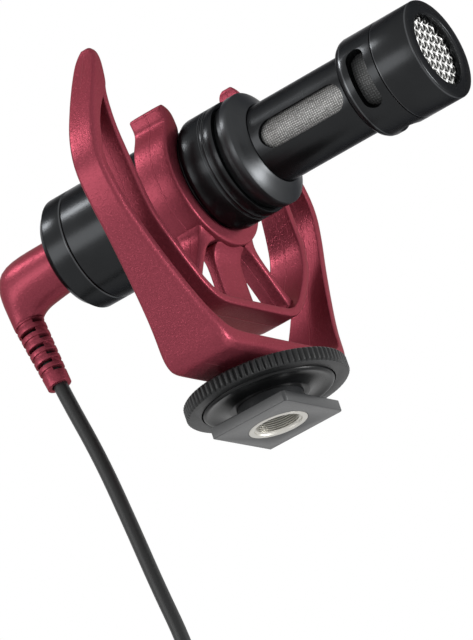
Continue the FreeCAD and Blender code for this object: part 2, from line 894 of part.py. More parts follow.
def pin_solids(face, direction, across):
    """Metal and insulating solids of one plug pin that starts at a face."""
    def turned_pin(profile):
        points = [face + direction * place + across * radius for place, radius in profile]
        return closed_face(points).revolve(face, direction, full_turn)

    metal = []
    rings = []
    lengths = [sleeve_length] + [pin_ring_length] * pin_rings
    start = 0
    for length in lengths:
        end = start + length
        metal.append(turned_pin([(start, 0), (start, pin_radius), (end, pin_radius), (end, 0)]))
        start = end + pin_insulator_length
        rings.append(turned_pin([(end, 0), (end, pin_radius), (start, pin_radius), (start, 0)]))
    waist = start + tip_length / 2
    shoulder = start + tip_length / 3
    belly = start + 2 * tip_length / 3
    end = start + tip_length
    metal.append(turned_pin([(start, 0), (start, pin_radius), (shoulder, pin_radius),
                             (waist, tip_neck_radius), (belly, pin_radius),
                             (end, tip_neck_radius / 2), (end, 0)]))
    return Part.makeCompound(metal), Part.makeCompound(rings)


def relief_solid(length, top_radius, end_radius, slots, pitch, first):
    """Slotted sleeve, built downwards from its upper end at the origin."""
    solid = Part.makeCone(top_radius, end_radius, length, V(0, 0, 0), V(0, 0, -1))
    solid = solid.cut(Part.makeCylinder(cable_radius + relief_play, length + 2 * overrun,
                                        V(0, 0, overrun), V(0, 0, -1)))
    reach = top_radius + overrun
    for slot in range(slots):
        top = -first - slot * pitch
        low = top - relief_slot_height
        here = top_radius + (end_radius - top_radius) * -top / length
        band = Part.makeCylinder(reach, relief_slot_height, V(0, 0, low), up)
        inner = Part.makeCylinder(here - relief_groove, relief_slot_height, V(0, 0, low), up)
        solid = solid.cut(band.cut(inner))
        half = min(relief_slot_half, here - relief_groove)
        if slot % 2:
            cut = block(V(-half, -reach, low), V(half, reach, top))
        else:
            cut = block(V(-reach, -half, low), V(reach, half, top))
        solid = solid.cut(cut)
    return solid


def placed(shape, origin, direction):
    """Copy of a shape built downwards, moved so that it points along a direction."""
    turn = FreeCAD.Rotation(V(0, 0, -1), direction)
    return shape.transformed(FreeCAD.Placement(origin, turn).toMatrix())


def relief_start():
    """Centre of the plug's lower end."""
    return V(elbow_x - plug_lean, 0, mic_z - plug_drop)


def relief_direction():
    """Direction of the relief and the cable in it."""
    line = V(relief_lean, 0, -relief_length)
    line.normalize()
    return line


def make_plug_body():
    """Right-angle housing: collar, horizontal leg, elbow and lower leg."""
    collar = rod(plug_face - collar_width, plug_face, collar_radius)
    leg = rod(elbow_x, plug_face, plug_leg_radius)
    elbow = Part.makeSphere(plug_leg_radius, V(elbow_x, 0, mic_z))
    down = relief_start() - V(elbow_x, 0, mic_z)
    lower = Part.makeCone(plug_leg_radius, plug_drop_radius, down.Length, V(elbow_x, 0, mic_z), down)
    body = collar.fuse([leg, elbow, lower]).removeSplitter()
    reach = 2 * plug_leg_radius
    trim = block(V(-reach, -reach, -reach), V(reach, reach, 0))
    return body.cut(placed(trim, relief_start(), relief_direction()))


# Cable route between plug and coil, straight runs joined by tangent arcs
cable_route = [
    (-39.70, 0.0, 25.6),
    (-36.6, 0.0, 11.0),
    (-34.9, 0.0, -3.2),
    (-33.6, 0.0, -16.0),
    (-32.0, 0.0, -27.6),
    (-32.0, 0.0, -38.5),
]
run_share = 0.45


def smooth_path(points):
    """Wire of straight runs and tangent arcs; prints the arcs' radii."""
    edges = []
    radii = []
    last = points[0]
    for before, corner, after in zip(points, points[1:], points[2:]):
        run_in = corner - before
        run_out = after - corner
        cut = run_share * min(run_in.Length, run_out.Length)
        half = run_in.getAngle(run_out) / 2
        run_in.normalize()
        run_out.normalize()
        start = corner - run_in * cut
        end = corner + run_out * cut
        radius = cut / math.tan(half)
        inward = run_out - run_in
        inward.normalize()
        middle = corner + inward * (radius / math.cos(half) - radius)
        edges.append(Part.LineSegment(last, start).toShape())
        edges.append(Part.Arc(start, middle, end).toShape())
        radii.append(round(radius, 1))
        last = end
    edges.append(Part.LineSegment(last, points[-1]).toShape())
    print("cord radii", radii)
    return Part.Wire(edges)


def tube_along(path, radius, start, direction):
    """Round tube along a wire, with its volume against section times length."""
    section = Part.Wire(Part.makeCircle(radius, start, direction))
    tube = path.makePipeShell([section], True, False)
    expected = math.pi * radius ** 2 * path.Length
    print("tube volume", round(tube.Volume, 1), "expected", round(expected, 1),
          "length", round(path.Length, 1))
    return tube


def make_cable():
    """Free cable from the plug's housing to the coil."""
    start = relief_start()
    points = [start] + [V(*point) for point in cable_route]
    return tube_along(smooth_path(points), cable_radius, start, points[1] - start)


def coil_turns():
    """Half turns of the coil: start and end places across, layers and the side."""
    step = coil_step / 2
    radii = [coil_first_radius, coil_first_radius - step, coil_first_radius - 2 * step, coil_climb_radius,
             coil_first_radius - 2 * step, coil_first_radius - step]
    layers = [0, 0, 0, 0, 1, 1, 2]
    turns = []
    place = 0
    for number, radius in enumerate(radii):
        end = place - 2 * radius if number % 2 == 0 else place + 2 * radius
        side = -1 if number % 2 == 0 else 1
        turns.append((place, end, layers[number] * coil_step, layers[number + 1] * coil_step, side))
        place = end
    return turns


def coil_entry():
    """End of the free cable, where the coil starts."""
    return V(*cable_route[-1])


def coil_end():
    """End of the coil, where the far plug's relief starts."""
    entry = coil_entry()
    turns = coil_turns()
    return entry + V(turns[-1][1], turns[-1][3], -2 * coil_tail)


def make_coil():
    """Cable wound up in half turns, layer on layer, as one tube."""
    entry = coil_entry()
    level = entry - up * coil_tail
    edges = [Part.LineSegment(entry, level).toShape()]
    for start, end, low, high, side in coil_turns():
        first = level + V(start, low, 0)
        last = level + V(end, high, 0)
        radius = (last - first).Length / 2
        middle = (first + last) * 0.5 + up * (side * radius)
        edges.append(Part.Arc(first, middle, last).toShape())
    edges.append(Part.LineSegment(last, coil_end()).toShape())
    path = Part.Wire(edges)
    print("coil self gap", round(self_gap(path), 2))
    return tube_along(path, cable_radius, entry, V(0, 0, -1))


def self_gap(path):
    """Least distance between the surfaces of turns that pass each other."""
    count = 600
    points = path.discretize(count)
    spacing = path.Length / (count - 1)
    skip = int(6 * cable_radius / spacing)
    least = path.Length
    for index in range(count):
        for other in range(index + skip, count):
            least = min(least, points[index].distanceToPoint(points[other]))
    return least - 2 * cable_radius


def make_tie():
    """Band round the three strands at the coil's far side."""
    level = coil_entry() - up * coil_tail
    turns = coil_turns()
    outer_x = min(turn[1] for turn in turns)
    inner_x = turns[2][1]
    reach = cable_radius + tie_play
    low = V(outer_x - reach, -reach, -tie_height / 2)
    high = V(inner_x + reach + tie_slack, coil_step + reach, tie_height / 2)
    wall = V(tie_wall, tie_wall, 0)
    outer = block(level + low - wall, level + high + wall)
    uprights = [edge for edge in outer.Edges if abs(edge.tangentAt(edge.FirstParameter).z) > run_share]
    outer = outer.makeFillet(reach, uprights)
    inner = block(level + low - up * overrun, level + high + up * overrun)
    return outer.cut(inner)


def make_far_body():
    """Straight housing of the far plug."""
    top = coil_end() - up * far_relief_length
    body = Part.makeCylinder(far_body_radius, far_body_length, top, V(0, 0, -1))
    rims = [edge for edge in body.Edges if isinstance(edge.Curve, Part.Circle)]
    return body.makeFillet(far_body_edge, rims)


def make_far_relief():
    """Slotted relief of the far plug."""
    slots = relief_slots - 2
    solid = relief_solid(far_relief_length, relief_end_radius, far_relief_radius, slots,
                         relief_pitch, relief_first)
    plugged = Part.makeCylinder(cable_radius + relief_play, far_relief_length, V(0, 0, 0), V(0, 0, -1))
    return placed(solid.fuse(plugged).removeSplitter(), coil_end(), V(0, 0, -1))


os.makedirs("parts", exist_ok=True)

strap = make_strap()
save("shoe_foot", make_foot())
save("thread_insert", make_insert())
save("base_screw", make_screw())
save("base_nut", make_nut())
save("lock_ring", make_ring())
save("clamp_plate", make_clamp_plate())
save("lyre_yoke", make_yoke())
save("lyre_strap", strap)
save("mic_clip", make_clip(strap))
save("head_cap", make_head_cap())
save("front_mesh", make_front_mesh())
save("head_foam", make_head_foam())
save("slot_ring", make_slot_ring())
save("slot_mesh", make_slot_mesh())
save("neck_tube", make_neck())
save("neck_mesh", make_neck_mesh())
save("neck_felt", make_neck_felt())
save("flange_collar", make_collar())
save("front_barrel", make_front_barrel())
save("body_core", make_core())
save("rear_barrel", make_rear_barrel())
save("rear_cap", make_rear_cap())
save("capsule", make_capsule())
save("capsule_holder", make_capsule_holder())
save("capsule_leads", make_leads())
save("preamp_board", make_board())
save("board_parts", make_board_parts())
save("jack_socket", make_jack())
save("jack_contacts", make_jack_contacts())

contacts, insulators = pin_solids(V(plug_face, 0, mic_z), along, up)
save("plug_contacts", contacts)
save("plug_insulators", insulators)
save("plug_body", make_plug_body())
relief = relief_solid(relief_length, relief_top_radius, relief_end_radius, relief_slots,
                      relief_pitch, relief_first)
save("strain_relief", placed(relief, relief_start(), relief_direction()))
save("cable", make_cable())
save("cable_coil", make_coil())
save("cable_tie", make_tie())
save("far_relief", make_far_relief())
save("far_plug_body", make_far_body())
far_face = coil_end() - up * (far_relief_length + far_body_length)
far_contacts, far_insulators = pin_solids(far_face, V(0, 0, -1), along)
save("far_contacts", far_contacts)
save("far_insulators", far_insulators)
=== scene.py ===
import math
import bpy
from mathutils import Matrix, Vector


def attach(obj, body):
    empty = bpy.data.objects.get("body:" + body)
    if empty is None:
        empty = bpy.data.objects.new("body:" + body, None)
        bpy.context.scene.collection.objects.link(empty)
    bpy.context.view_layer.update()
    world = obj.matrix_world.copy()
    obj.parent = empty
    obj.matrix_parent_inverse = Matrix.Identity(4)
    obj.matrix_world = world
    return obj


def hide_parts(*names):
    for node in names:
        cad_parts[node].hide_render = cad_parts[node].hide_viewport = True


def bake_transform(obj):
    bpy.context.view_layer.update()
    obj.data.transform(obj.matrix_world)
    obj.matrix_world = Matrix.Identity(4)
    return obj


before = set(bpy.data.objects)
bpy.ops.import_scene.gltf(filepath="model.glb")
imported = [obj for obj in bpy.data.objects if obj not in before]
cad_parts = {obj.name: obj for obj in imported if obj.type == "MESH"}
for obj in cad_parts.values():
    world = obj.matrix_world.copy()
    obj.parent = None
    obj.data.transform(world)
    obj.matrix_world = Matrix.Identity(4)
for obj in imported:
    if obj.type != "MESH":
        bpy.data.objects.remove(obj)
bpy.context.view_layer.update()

bl_info = {
    "name": "Shoe-mount microphone",
    "version": (1, 0, 0),
    "blender": (4, 5, 0),
    "location": "View3D > Sidebar > Microphone",
    "description": "Small microphone in a sprung lyre mount, with its foot, plug and cable",
    "category": "Object",
}

# Tables and profiles are in millimetres, all that Blender is given in metres
MM = 0.001
MIC_LEVEL = 47.25
LYRE_HALF_WIDTH = 35.2
LYRE_HEIGHT = 62.84
BASE_BOTTOM = 8.16
BODY_RADIUS = 10.95
HEAD_RADIUS = 9.57
# A point on the microphone's axis, in metres
AXIS = (0.0, 0.0, MIC_LEVEL * MM)
# Distances in metres within which vertices are merged, after modelling and after a cut
MERGE = 0.000002
CUT_MERGE = 0.00006
WHITE = (1.0, 1.0, 1.0, 1.0)


def shade(red, green, blue):
    """Scene colour of an sRGB colour given from 0 to 255."""
    return tuple(((part / 255 + 0.055) / 1.055) ** 2.4 if part > 10 else part / 255 / 12.92
                 for part in (red, green, blue))


def length_of(label, text, size):
    """Size in millimetres that a user can change."""
    return bpy.props.FloatProperty(name=label, description=text, default=size * MM,
                                   min=0.0, precision=5, unit="LENGTH")


def power_of(label, text, power):
    """Power of a lamp that a user can change."""
    return bpy.props.FloatProperty(name=label, description=text, default=power, min=0.0, unit="POWER")


def colour_of(label, text, colour):
    """Colour that a user can change."""
    return bpy.props.FloatVectorProperty(name=label, description=text, default=colour,
                                         min=0.0, max=1.0, size=3, subtype="COLOR")


class LyreSizes(bpy.types.PropertyGroup):
    """Sizes of the lyre, its inner strap and the clip."""
    arm_wall: length_of("Arm thickness", "Wall of the outer arms", 2.2)
    strap_wall: length_of("Strap thickness", "Wall of the inner strap", 1.8)
    edge: length_of("Edge rounding", "Rounding along the clip and its spokes", 0.55)
    strap_edge: length_of("Strap rounding", "Rounding along the inner strap", 0.45)
    boss_radius: length_of("Boss radius", "Round boss under the lyre's base", 7.2)
    clip_length: length_of("Clip length", "Along the microphone", 7.4)
    web_thickness: length_of("Web thickness", "The clip's middle spoke", 2.1)
    spoke_thickness: length_of("Spoke thickness", "The two slanted spokes", 1.8)
    spoke_length: length_of("Spoke length", "Their length along the microphone", 4.6)


class MicSizes(bpy.types.PropertyGroup):
    """Sizes of the microphone's finer forms."""
    edge: length_of("Metal edge", "Small rounding on turned edges", 0.14)
    window_length: length_of("Window length", "Length of a window in the neck", 18.2)
    window_width: length_of("Window width", "Width of a window in the neck", 5.3)
    slot_width: length_of("Slot width", "Width of a sound slot in the head", 3.7)
    wire: length_of("Grille wire", "Thickness of the front grille's wires", 0.46)
    pitch: length_of("Grille pitch", "Distance between its wires", 1.3)
    grille_radius: length_of("Grille radius", "Radius of the woven disc", 8.4)


class CordSizes(bpy.types.PropertyGroup):
    """Sizes of the cable and its coil."""
    thickness: length_of("Cable thickness", "Diameter of the cable", 2.8)
    coil_radius: length_of("Coil radius", "Radius of the coil's first half turn", 17.0)
    coil_step: length_of("Coil step", "Distance between turns", 3.3)
    climb_radius: length_of("Climb radius", "Half turn that climbs to the next layer", 12.05)


class PartColours(bpy.types.PropertyGroup):
    """Colours of the object's finishes."""
    burgundy: colour_of("Burgundy", "Moulded lyre, clip and plug", shade(134, 59, 71))
    anodised: colour_of("Black metal", "Satin black of the microphone's body", shade(44, 45, 46))
    plastic: colour_of("Dark plastic", "Foot, plate and lock ring", shade(34, 35, 36))
    steel: colour_of("Steel", "Insert and screw", shade(176, 174, 168))
    wire: colour_of("Grille wire", "Woven front grille", shade(206, 206, 204))
    neck_mesh: colour_of("Neck mesh", "Mesh in the neck's windows", shade(176, 176, 174))
    slot_mesh: colour_of("Slot mesh", "Dark mesh behind the head's slots", shade(76, 77, 77))
    cable: colour_of("Cable", "Cable and far plug", shade(20, 21, 21))


class StageSettings(bpy.types.PropertyGroup):
    """Floor and lamps."""
    floor: colour_of("Floor", "Colour of the floor", (0.8, 0.8, 0.8))
    depth: length_of("Floor depth", "Depth under the frame's zero", 400.0)
    key: power_of("Key lamp", "Wide lamp before the object", 6.5)
    top: power_of("Top lamp", "Small lamp above", 4.2)
    front: power_of("Front lamp", "Lamp before the microphone", 4.0)
    low: power_of("Low lamp", "Small lamp under the foot", 0.25)
    ambient: bpy.props.FloatProperty(name="Ambient", description="Even light from all sides",
                                     default=0.28, min=0.0)


def given(thing, **settings):
    """A thing with some of its settings changed."""
    for setting, value in settings.items():
        setattr(thing, setting, value)
    return thing


def leave():
    """Leaves edit mode."""
    bpy.ops.object.mode_set(mode="OBJECT")


def fresh():
    """Leaves edit mode and deselects everything."""
    active = bpy.context.object
    if active and active.mode != "OBJECT":
        leave()
    bpy.ops.object.select_all(action="DESELECT")


def named(name):
    """The piece that was just added, under its name."""
    piece = bpy.context.object
    piece.name = name
    piece.data.name = name
    return piece


def based(name):
    """The primitive that was just added, named, with its place taken into its mesh."""
    piece = named(name)
    bpy.ops.object.transform_apply()
    return piece


def only(piece):
    """Makes one piece the selected and active one."""
    fresh()
    piece.select_set(True)
    bpy.context.view_layer.objects.active = piece


def edit(piece):
    """Enters edit mode with all of a piece selected."""
    only(piece)
    bpy.ops.object.mode_set(mode="EDIT")
    bpy.ops.mesh.select_mode(type="VERT")
    bpy.ops.mesh.select_all(action="SELECT")


def pick(piece, test):
    """Enters edit mode with only the vertices that pass a test selected."""
    edit(piece)
    bpy.ops.mesh.select_all(action="DESELECT")
    leave()
    for vertex in piece.data.vertices:
        vertex.select = test(vertex.co)
    bpy.ops.object.mode_set(mode="EDIT")


def sewn(piece, reach=MERGE):
    """Merges vertices within reach of each other and turns all faces outwards."""
    edit(piece)
    bpy.ops.mesh.remove_doubles(threshold=reach)
    bpy.ops.mesh.normals_make_consistent(inside=False)
    leave()
    return piece


def modified(piece, kind, **settings):
    """Adds a modifier and applies it."""
    only(piece)
    modifier = given(piece.modifiers.new(kind, kind), **settings)
    bpy.ops.object.modifier_apply(modifier=modifier.name)
    return piece


def rounded(piece, width, angle, segments=2):
    """Rounds the edges that are sharper than an angle."""
    return modified(piece, "BEVEL", width=width, segments=segments, limit_method="ANGLE",
                    angle_limit=math.radians(angle), use_clamp_overlap=True)


def smooth(piece, angle=32.0):
    """Smooth shading across edges flatter than an angle."""
    only(piece)
    bpy.ops.object.shade_smooth_by_angle(angle=math.radians(angle))
    return piece


def softened(piece, levels=2):
    """Subdivision surface, applied."""
    return modified(piece, "SUBSURF", levels=levels, render_levels=levels)


def joined(pieces, name):
    """Several pieces as one mesh."""
    only(pieces[0])
    for piece in pieces[1:]:
        piece.select_set(True)
    bpy.ops.object.join()
    return named(name)


def copied(piece):
    """Copy of a piece with its own mesh."""
    only(piece)
    bpy.ops.object.duplicate(linked=False)
    return bpy.context.object


def turn(axis, angle, centre):
    """Turns the selection right-handed about an axis through a point."""
    bpy.ops.transform.rotate(value=-angle, orient_axis=axis, orient_type="GLOBAL", center_override=centre)


def revolved(piece, angle):
    """Turns a piece's mesh about the microphone's axis."""
    edit(piece)
    turn("X", angle, AXIS)
    leave()
    return piece


def cut(piece, cutter):
    """Takes a cutter out of a piece, removes it and merges the slivers."""
    modified(piece, "BOOLEAN", object=cutter, operation="DIFFERENCE", solver="EXACT", use_self=True)
    bpy.data.objects.remove(cutter)
    return sewn(piece, CUT_MERGE)


def turned(name, profile, edge, axis="X", steps=96):
    """Turned piece from (place, radius) points, closed unless the first one lies on the axis."""
    level = MIC_LEVEL if axis == "X" else 0.0
    points = [Vector((along, 0, level + radius) if axis == "X" else (radius, 0, along)) * MM
              for along, radius in profile]
    if profile[0][1]:
        points.append(points[0])
    fresh()
    bpy.ops.mesh.primitive_plane_add(size=MM, location=points[0])
    piece = based(name)
    edit(piece)
    bpy.ops.mesh.merge(type="CENTER")
    for before, after in zip(points, points[1:]):
        bpy.ops.mesh.extrude_region_move(TRANSFORM_OT_translate={"value": after - before})
    bpy.ops.mesh.select_all(action="SELECT")
    bpy.ops.mesh.remove_doubles(threshold=MERGE)
    direction = (1, 0, 0) if axis == "X" else (0, 0, 1)
    bpy.ops.mesh.spin(steps=steps, angle=2 * math.pi, center=(0, 0, level * MM), axis=direction)
    sewn(piece)
    if edge:
        sewn(rounded(piece, edge * MM, 25.0))
    return smooth(piece)


def swept(name, axis, stations, corners=4):
    """Closed beam along stations of (centre, turn, size along the axis, size across)."""
    centre, angle, along, across = stations[0]
    fresh()
    if corners == 4:
        bpy.ops.mesh.primitive_plane_add(size=1, location=centre)
    else:
        bpy.ops.mesh.primitive_circle_add(vertices=corners, radius=0.5, fill_type="NGON", location=centre)
    piece = based(name)
    edit(piece)

    def stretch(along_share, across_share):
        first, second = (along_share, across_share) if axis == "X" else (across_share, along_share)
        bpy.ops.transform.resize(value=(first, second, across_share), orient_type="GLOBAL",
                                 center_override=centre)

    stretch(along, across)
    turn(axis, angle, centre)
    for next_centre, next_angle, next_along, next_across in stations[1:]:
        bpy.ops.mesh.extrude_region_move(TRANSFORM_OT_translate={"value": next_centre - centre})
        centre = next_centre
        change = (next_angle - angle + math.pi) % (2 * math.pi) - math.pi
        turn(axis, change, centre)
        stretch(next_along / along, next_across / across)
        angle, along, across = next_angle, next_along, next_across
    return sewn(piece)


def ribbon(name, sides, axis="X", corners=4):
    """Beam from sides seen along an axis: (outer point, inner point, half length)."""
    stations = []
    for outer, inner, half in sides:
        aside, level = outer[0] + inner[0], outer[1] + inner[1]
        centre = Vector((0, aside, level) if axis == "X" else (aside, 0, level)) * (MM / 2)
        run, rise = outer[0] - inner[0], outer[1] - inner[1]
        angle = math.atan2(rise if axis == "X" else -rise, run)
        stations.append((centre, angle, 2 * half * MM, math.hypot(run, rise) * MM))
    return swept(name, axis, stations, corners)


def lyre_point(share, rise):
    """Point (y, z) from shares of the lyre's half width and height."""
    return share * LYRE_HALF_WIDTH, BASE_BOTTOM + rise * LYRE_HEIGHT


def between(table, rise):
    """Value at a height from a table of (value, height), straight between rows."""
    rows = sorted((level, value) for value, level in table)
    if rise <= rows[0][0]:
        return rows[0][1]
    for (low, first), (high, second) in zip(rows, rows[1:]):
        if rise <= high:
            return first + (second - first) * (rise - low) / (high - low)
    return rows[-1][1]


def walled(outline, walls, wall, depths, half_length):
    """Ribbon sides along an outline, set in square to it, with wall and half length in shares."""
    outer = [lyre_point(*point) for point in outline]
    sides = []
    for number, (across, level) in enumerate(outer):
        before = outer[max(number - 1, 0)]
        after = outer[min(number + 1, len(outer) - 1)]
        run, rise = after[0] - before[0], after[1] - before[1]
        inset = walls[number] * wall / math.hypot(run, rise)
        inner = (across + rise * inset, level - run * inset)
        sides.append(((across, level), inner, between(depths, outline[number][1]) * half_length))
    return sides


def both_sides(half):
    """Ribbon sides from the right-hand tip over the middle to the left-hand one."""
    left = [((-outer[0], outer[1]), (-inner[0], inner[1]), size) for outer, inner, size in half[:-1]]
    return half + left[::-1]


def dressed(node, name, edge, angle=35.0):
    """Copy of a CAD piece with rounded edges that stands in for it."""
    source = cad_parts[node]
    fresh()
    piece = source.copy()
    piece.data = source.data.copy()
    piece.parent = None
    for label in list(piece.keys()):
        del piece[label]
    bpy.context.scene.collection.objects.link(piece)
    edit(piece)
    named(name)
    bpy.ops.mesh.remove_doubles(threshold=MERGE)
    bpy.ops.mesh.dissolve_limited(angle_limit=math.radians(2.0))
    leave()
    if edge:
        rounded(piece, edge * MM, angle)
    smooth(piece)
    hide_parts(node)
    return piece


class Value:
    """A node's output; Python's operators on it add Math nodes."""

    def __init__(self, network, socket):
        self.network = network
        self.socket = socket

    def math(self, operation, *others):
        """One Math node on this value."""
        return self.network.node("ShaderNodeMath", {"operation": operation},
                                 dict(enumerate((self,) + others)))

    def __add__(self, other):
        return self.math("ADD", other)

    __radd__ = __add__

    def __sub__(self, other):
        return self.math("SUBTRACT", other)

    def __rsub__(self, other):
        return self.network.node("ShaderNodeMath", {"operation": "SUBTRACT"}, {0: other, 1: self})

    def __mul__(self, other):
        return self.math("MULTIPLY", other)

    __rmul__ = __mul__

    def wave(self):
        """Sine of the value."""
        return self.math("SINE")

    def size(self):
        """The value without its sign."""
        return self.math("ABSOLUTE")

    def step(self, low, high):
        """0 below low, 1 above high, smooth between them."""
        return self.network.node("ShaderNodeMapRange", {"interpolation_type": "SMOOTHSTEP"},
                                 {"Value": self, "From Min": low, "From Max": high})


class Network:
    """The nodes of a material or a world."""

    def __init__(self, owner):
        owner.use_nodes = True
        self.nodes = owner.node_tree.nodes
        self.links = owner.node_tree.links
        self.nodes.clear()

    def node(self, kind, settings=(), values=(), output=0):
        """A node with its settings, its sockets' values or links, and one output."""
        node = given(self.nodes.new(kind), **dict(settings))
        for socket, value in dict(values).items():
            if isinstance(value, Value):
                self.links.new(value.socket, node.inputs[socket])
            else:
                node.inputs[socket].default_value = value
        return Value(self, node.outputs[output]) if node.outputs else None

    def rays(self):
        """Three values, 1 for rays from the camera, off a gloss and through glass."""
        return [self.node("ShaderNodeLightPath", output=f"Is {kind} Ray")
                for kind in ("Camera", "Glossy", "Transmission")]


class Finish(Network):
    """One material, with its place on the object in millimetres at hand as spot."""

    def __init__(self, name, colour, roughness, slot, **constants):
        self.material = bpy.data.materials.new(name)
        super().__init__(self.material)
        self.material.diffuse_color = (*colour, 1.0)
        self.colour = tuple(colour)
        self.slot = slot
        self.shader = self.nodes.new("ShaderNodeBsdfPrincipled")
        self.node("ShaderNodeOutputMaterial", values={"Surface": Value(self, self.shader.outputs[0])})
        constants.update(Base_Color=(*colour, 1.0), Roughness=roughness)
        for socket, value in constants.items():
            self.shader.inputs[socket.replace("_", " ")].default_value = value
        self.spot = self.node("ShaderNodeVectorMath", {"operation": "SCALE"},
                              {0: self.node("ShaderNodeTexCoord", output="Object"), "Scale": 1 / MM})

    def made(self, base, height, depth, roughness=None):
        """Links the base colour, a relief from 0 to 1 with its depth in millimetres, and the roughness."""
        bump = self.node("ShaderNodeBump", values={"Distance": depth * MM, "Height": height})
        for socket, value in (("Base Color", base), ("Normal", bump), ("Roughness", roughness)):
            if value:
                self.links.new(value.socket, self.shader.inputs[socket])
        return self

    def parts(self, vector=None):
        """The three numbers of a vector, as a rule of the spot."""
        node = self.nodes.new("ShaderNodeSeparateXYZ")
        self.links.new((vector or self.spot).socket, node.inputs[0])
        return [Value(self, socket) for socket in node.outputs]

    def noise(self, scale, detail=2.0, roughness=0.5, spot=None):
        """Noise from 0 to 1, with scale in waves per millimetre."""
        return self.node("ShaderNodeTexNoise", {"noise_dimensions": "3D"},
                         {"Vector": spot or self.spot, "Scale": scale, "Detail": detail,
                          "Roughness": roughness})

    def rings(self, place):
        """Noise that changes along one direction, as in the rings a lathe leaves."""
        return self.noise(1.0, 3.0, 0.7, self.node("ShaderNodeCombineXYZ", values={0: place}))

    def mix(self, factor, first, second):
        """Colour between two colours."""
        return self.node("ShaderNodeMix", {"data_type": "RGBA"}, {0: factor, 6: first, 7: second}, output=2)

    def tones(self, factor, dark, light):
        """Colour between two tones of the finish's own colour."""
        return self.mix(factor, tone(self.colour, dark), tone(self.colour, light))

    def on(self, *pieces):
        """Puts the finish on pieces, in place of what they had."""
        for piece in pieces:
            piece.data.materials.clear()
            piece.data.materials.append(self.material)


def tone(colour, factor):
    """A colour made lighter or darker, as four numbers."""
    return tuple(min(part * factor, 1.0) for part in colour) + (1.0,)


def burgundy_finish(name, seam=""):
    """Satin moulded plastic with a fine metallic grain and a painted highlight along its convex edges. Its
    mould line at x = 0 is "all" round, or only "inner", on faces that look inwards and near the tips."""
    colour = bpy.context.scene.mic_colours.burgundy
    finish = Finish(name, colour, 0.4, "burgundy_plastic", Metallic=0.48, Specular_IOR_Level=0.06,
                    Specular_Tint=tone(colour, 1.6))
    grain = finish.noise(3.2, 3.0, 0.7)
    cloud = finish.noise(0.12)
    flake = finish.noise(2.6, 1.0).step(0.56, 0.7)
    # Painted highlight: convex edges found by pointiness get a lighter colour and a little less roughness
    painted_edge_highlight = finish.node("ShaderNodeNewGeometry", output="Pointiness").step(0.55, 0.68)
    bright = finish.mix(flake * 0.08, finish.tones(grain.step(0.3, 0.7), 0.9, 1.09), tone(colour, 1.9))
    bright = finish.mix(painted_edge_highlight * 0.4, bright, tone(colour, 1.7))
    height = grain * 0.6 + flake * 0.4
    if seam:
        along, across, level = finish.parts()
        line = 1.0 - along.size().step(0.05, 0.16)
        if seam == "inner":
            facing = finish.parts(finish.node("ShaderNodeTexCoord", output="Normal"))[1]
            line = line * (1.0 - (facing * across).step(-4.0, 4.0) * (1.0 - level.step(61.0, 66.0)))
        height = height + line * 2.0
        # Painted highlight: the mould line's ridge is painted lighter, as light catching it
        bright = finish.mix(line * 0.5, bright, tone(colour, 1.5))
    return finish.made(bright, height, 0.045, grain * 0.12 + cloud * 0.08 - painted_edge_highlight * 0.06 + 0.24)


def turned_finish(name, colour, roughness=0.23, highlight_rims=()):
    """Satin black metal with the fine rings a lathe leaves, and painted highlight lines at rims along its
    axis.
    """
    finish = Finish(name, colour, roughness, "black_anodised", Metallic=0.85, Specular_IOR_Level=0.1,
                    Specular_Tint=(0.35, 0.35, 0.36, 1.0))
    along = finish.parts()[0]
    rings = finish.rings(along * 14.0)
    grain = finish.noise(9.0, 1.0)
    cloud = finish.noise(0.18)
    metal = finish.tones(cloud, 0.85, 1.15)
    for rim in highlight_rims:
        # Painted highlight: a thin band of much lighter metal colour at each rim
        rim_highlight = 1.0 - (along - rim).size().step(0.06, 0.2)
        metal = finish.mix(rim_highlight * 0.5, metal, tone(colour, 5.0))
    return finish.made(metal, rings * 0.7 + grain * 0.3, 0.006,
                       rings * 0.1 + cloud * 0.08 + (roughness - 0.07))


def plastic_finish(name, colour, slot, roughness=0.5, grain_scale=4.0, depth=0.03, gloss=0.5):
    """Fine-eroded moulded plastic."""
    finish = Finish(name, colour, roughness, slot, Specular_IOR_Level=gloss)
    grain = finish.noise(grain_scale, 3.0, 0.6)
    cloud = finish.noise(0.15)
    base = finish.tones(cloud * 0.5 + grain * 0.5, 0.82, 1.2)
    return finish.made(base, grain, depth, grain * 0.16 + cloud * 0.06 + (roughness - 0.1))


def steel_finish(name, colour, slot, roughness=0.3):
    """Turned bright metal."""
    finish = Finish(name, colour, roughness, slot, Metallic=1.0)
    rings = finish.rings(finish.parts()[2] * 9.0)
    cloud = finish.noise(0.6, 3.0)
    base = finish.tones(cloud, 0.85, 1.08)
    return finish.made(base, rings, 0.01, rings * 0.14 + cloud * 0.1 + (roughness - 0.1))


# Wires of the fine meshes round the microphone
MESH_WIRES = 100


def mesh_finish(name, colour, pitch):
    """Woven mesh on a sleeve about the microphone: wires both ways with dark gaps, and painted light and
    shade over the weave.
    """
    finish = Finish(name, colour, 0.42, "fine_mesh", Metallic=0.3)
    along, across, level = finish.parts()
    cycles = (level - MIC_LEVEL).math("ARCTAN2", across) * (MESH_WIRES / 2)
    rows = along * (math.pi / pitch)
    slack = finish.noise(1.5, 1.0) * 3.0
    warp = (cycles + rows + slack).wave()
    weft = (cycles - rows + slack).wave()
    wires = warp.size().math("MAXIMUM", weft.size()).step(0.25, 0.95)
    cloud = finish.noise(2.4, 3.0, 0.7).step(0.3, 0.7)
    # Painted light and shade: the wires are lighter and darker following the weave's over and under pattern
    painted_weave_light = finish.tones((warp * weft).step(-0.9, 0.9), 0.4, 1.3)
    return finish.made(finish.mix(wires * (cloud * 0.6 + 0.5), tone(colour, 0.05), painted_weave_light), wires, 0.06)


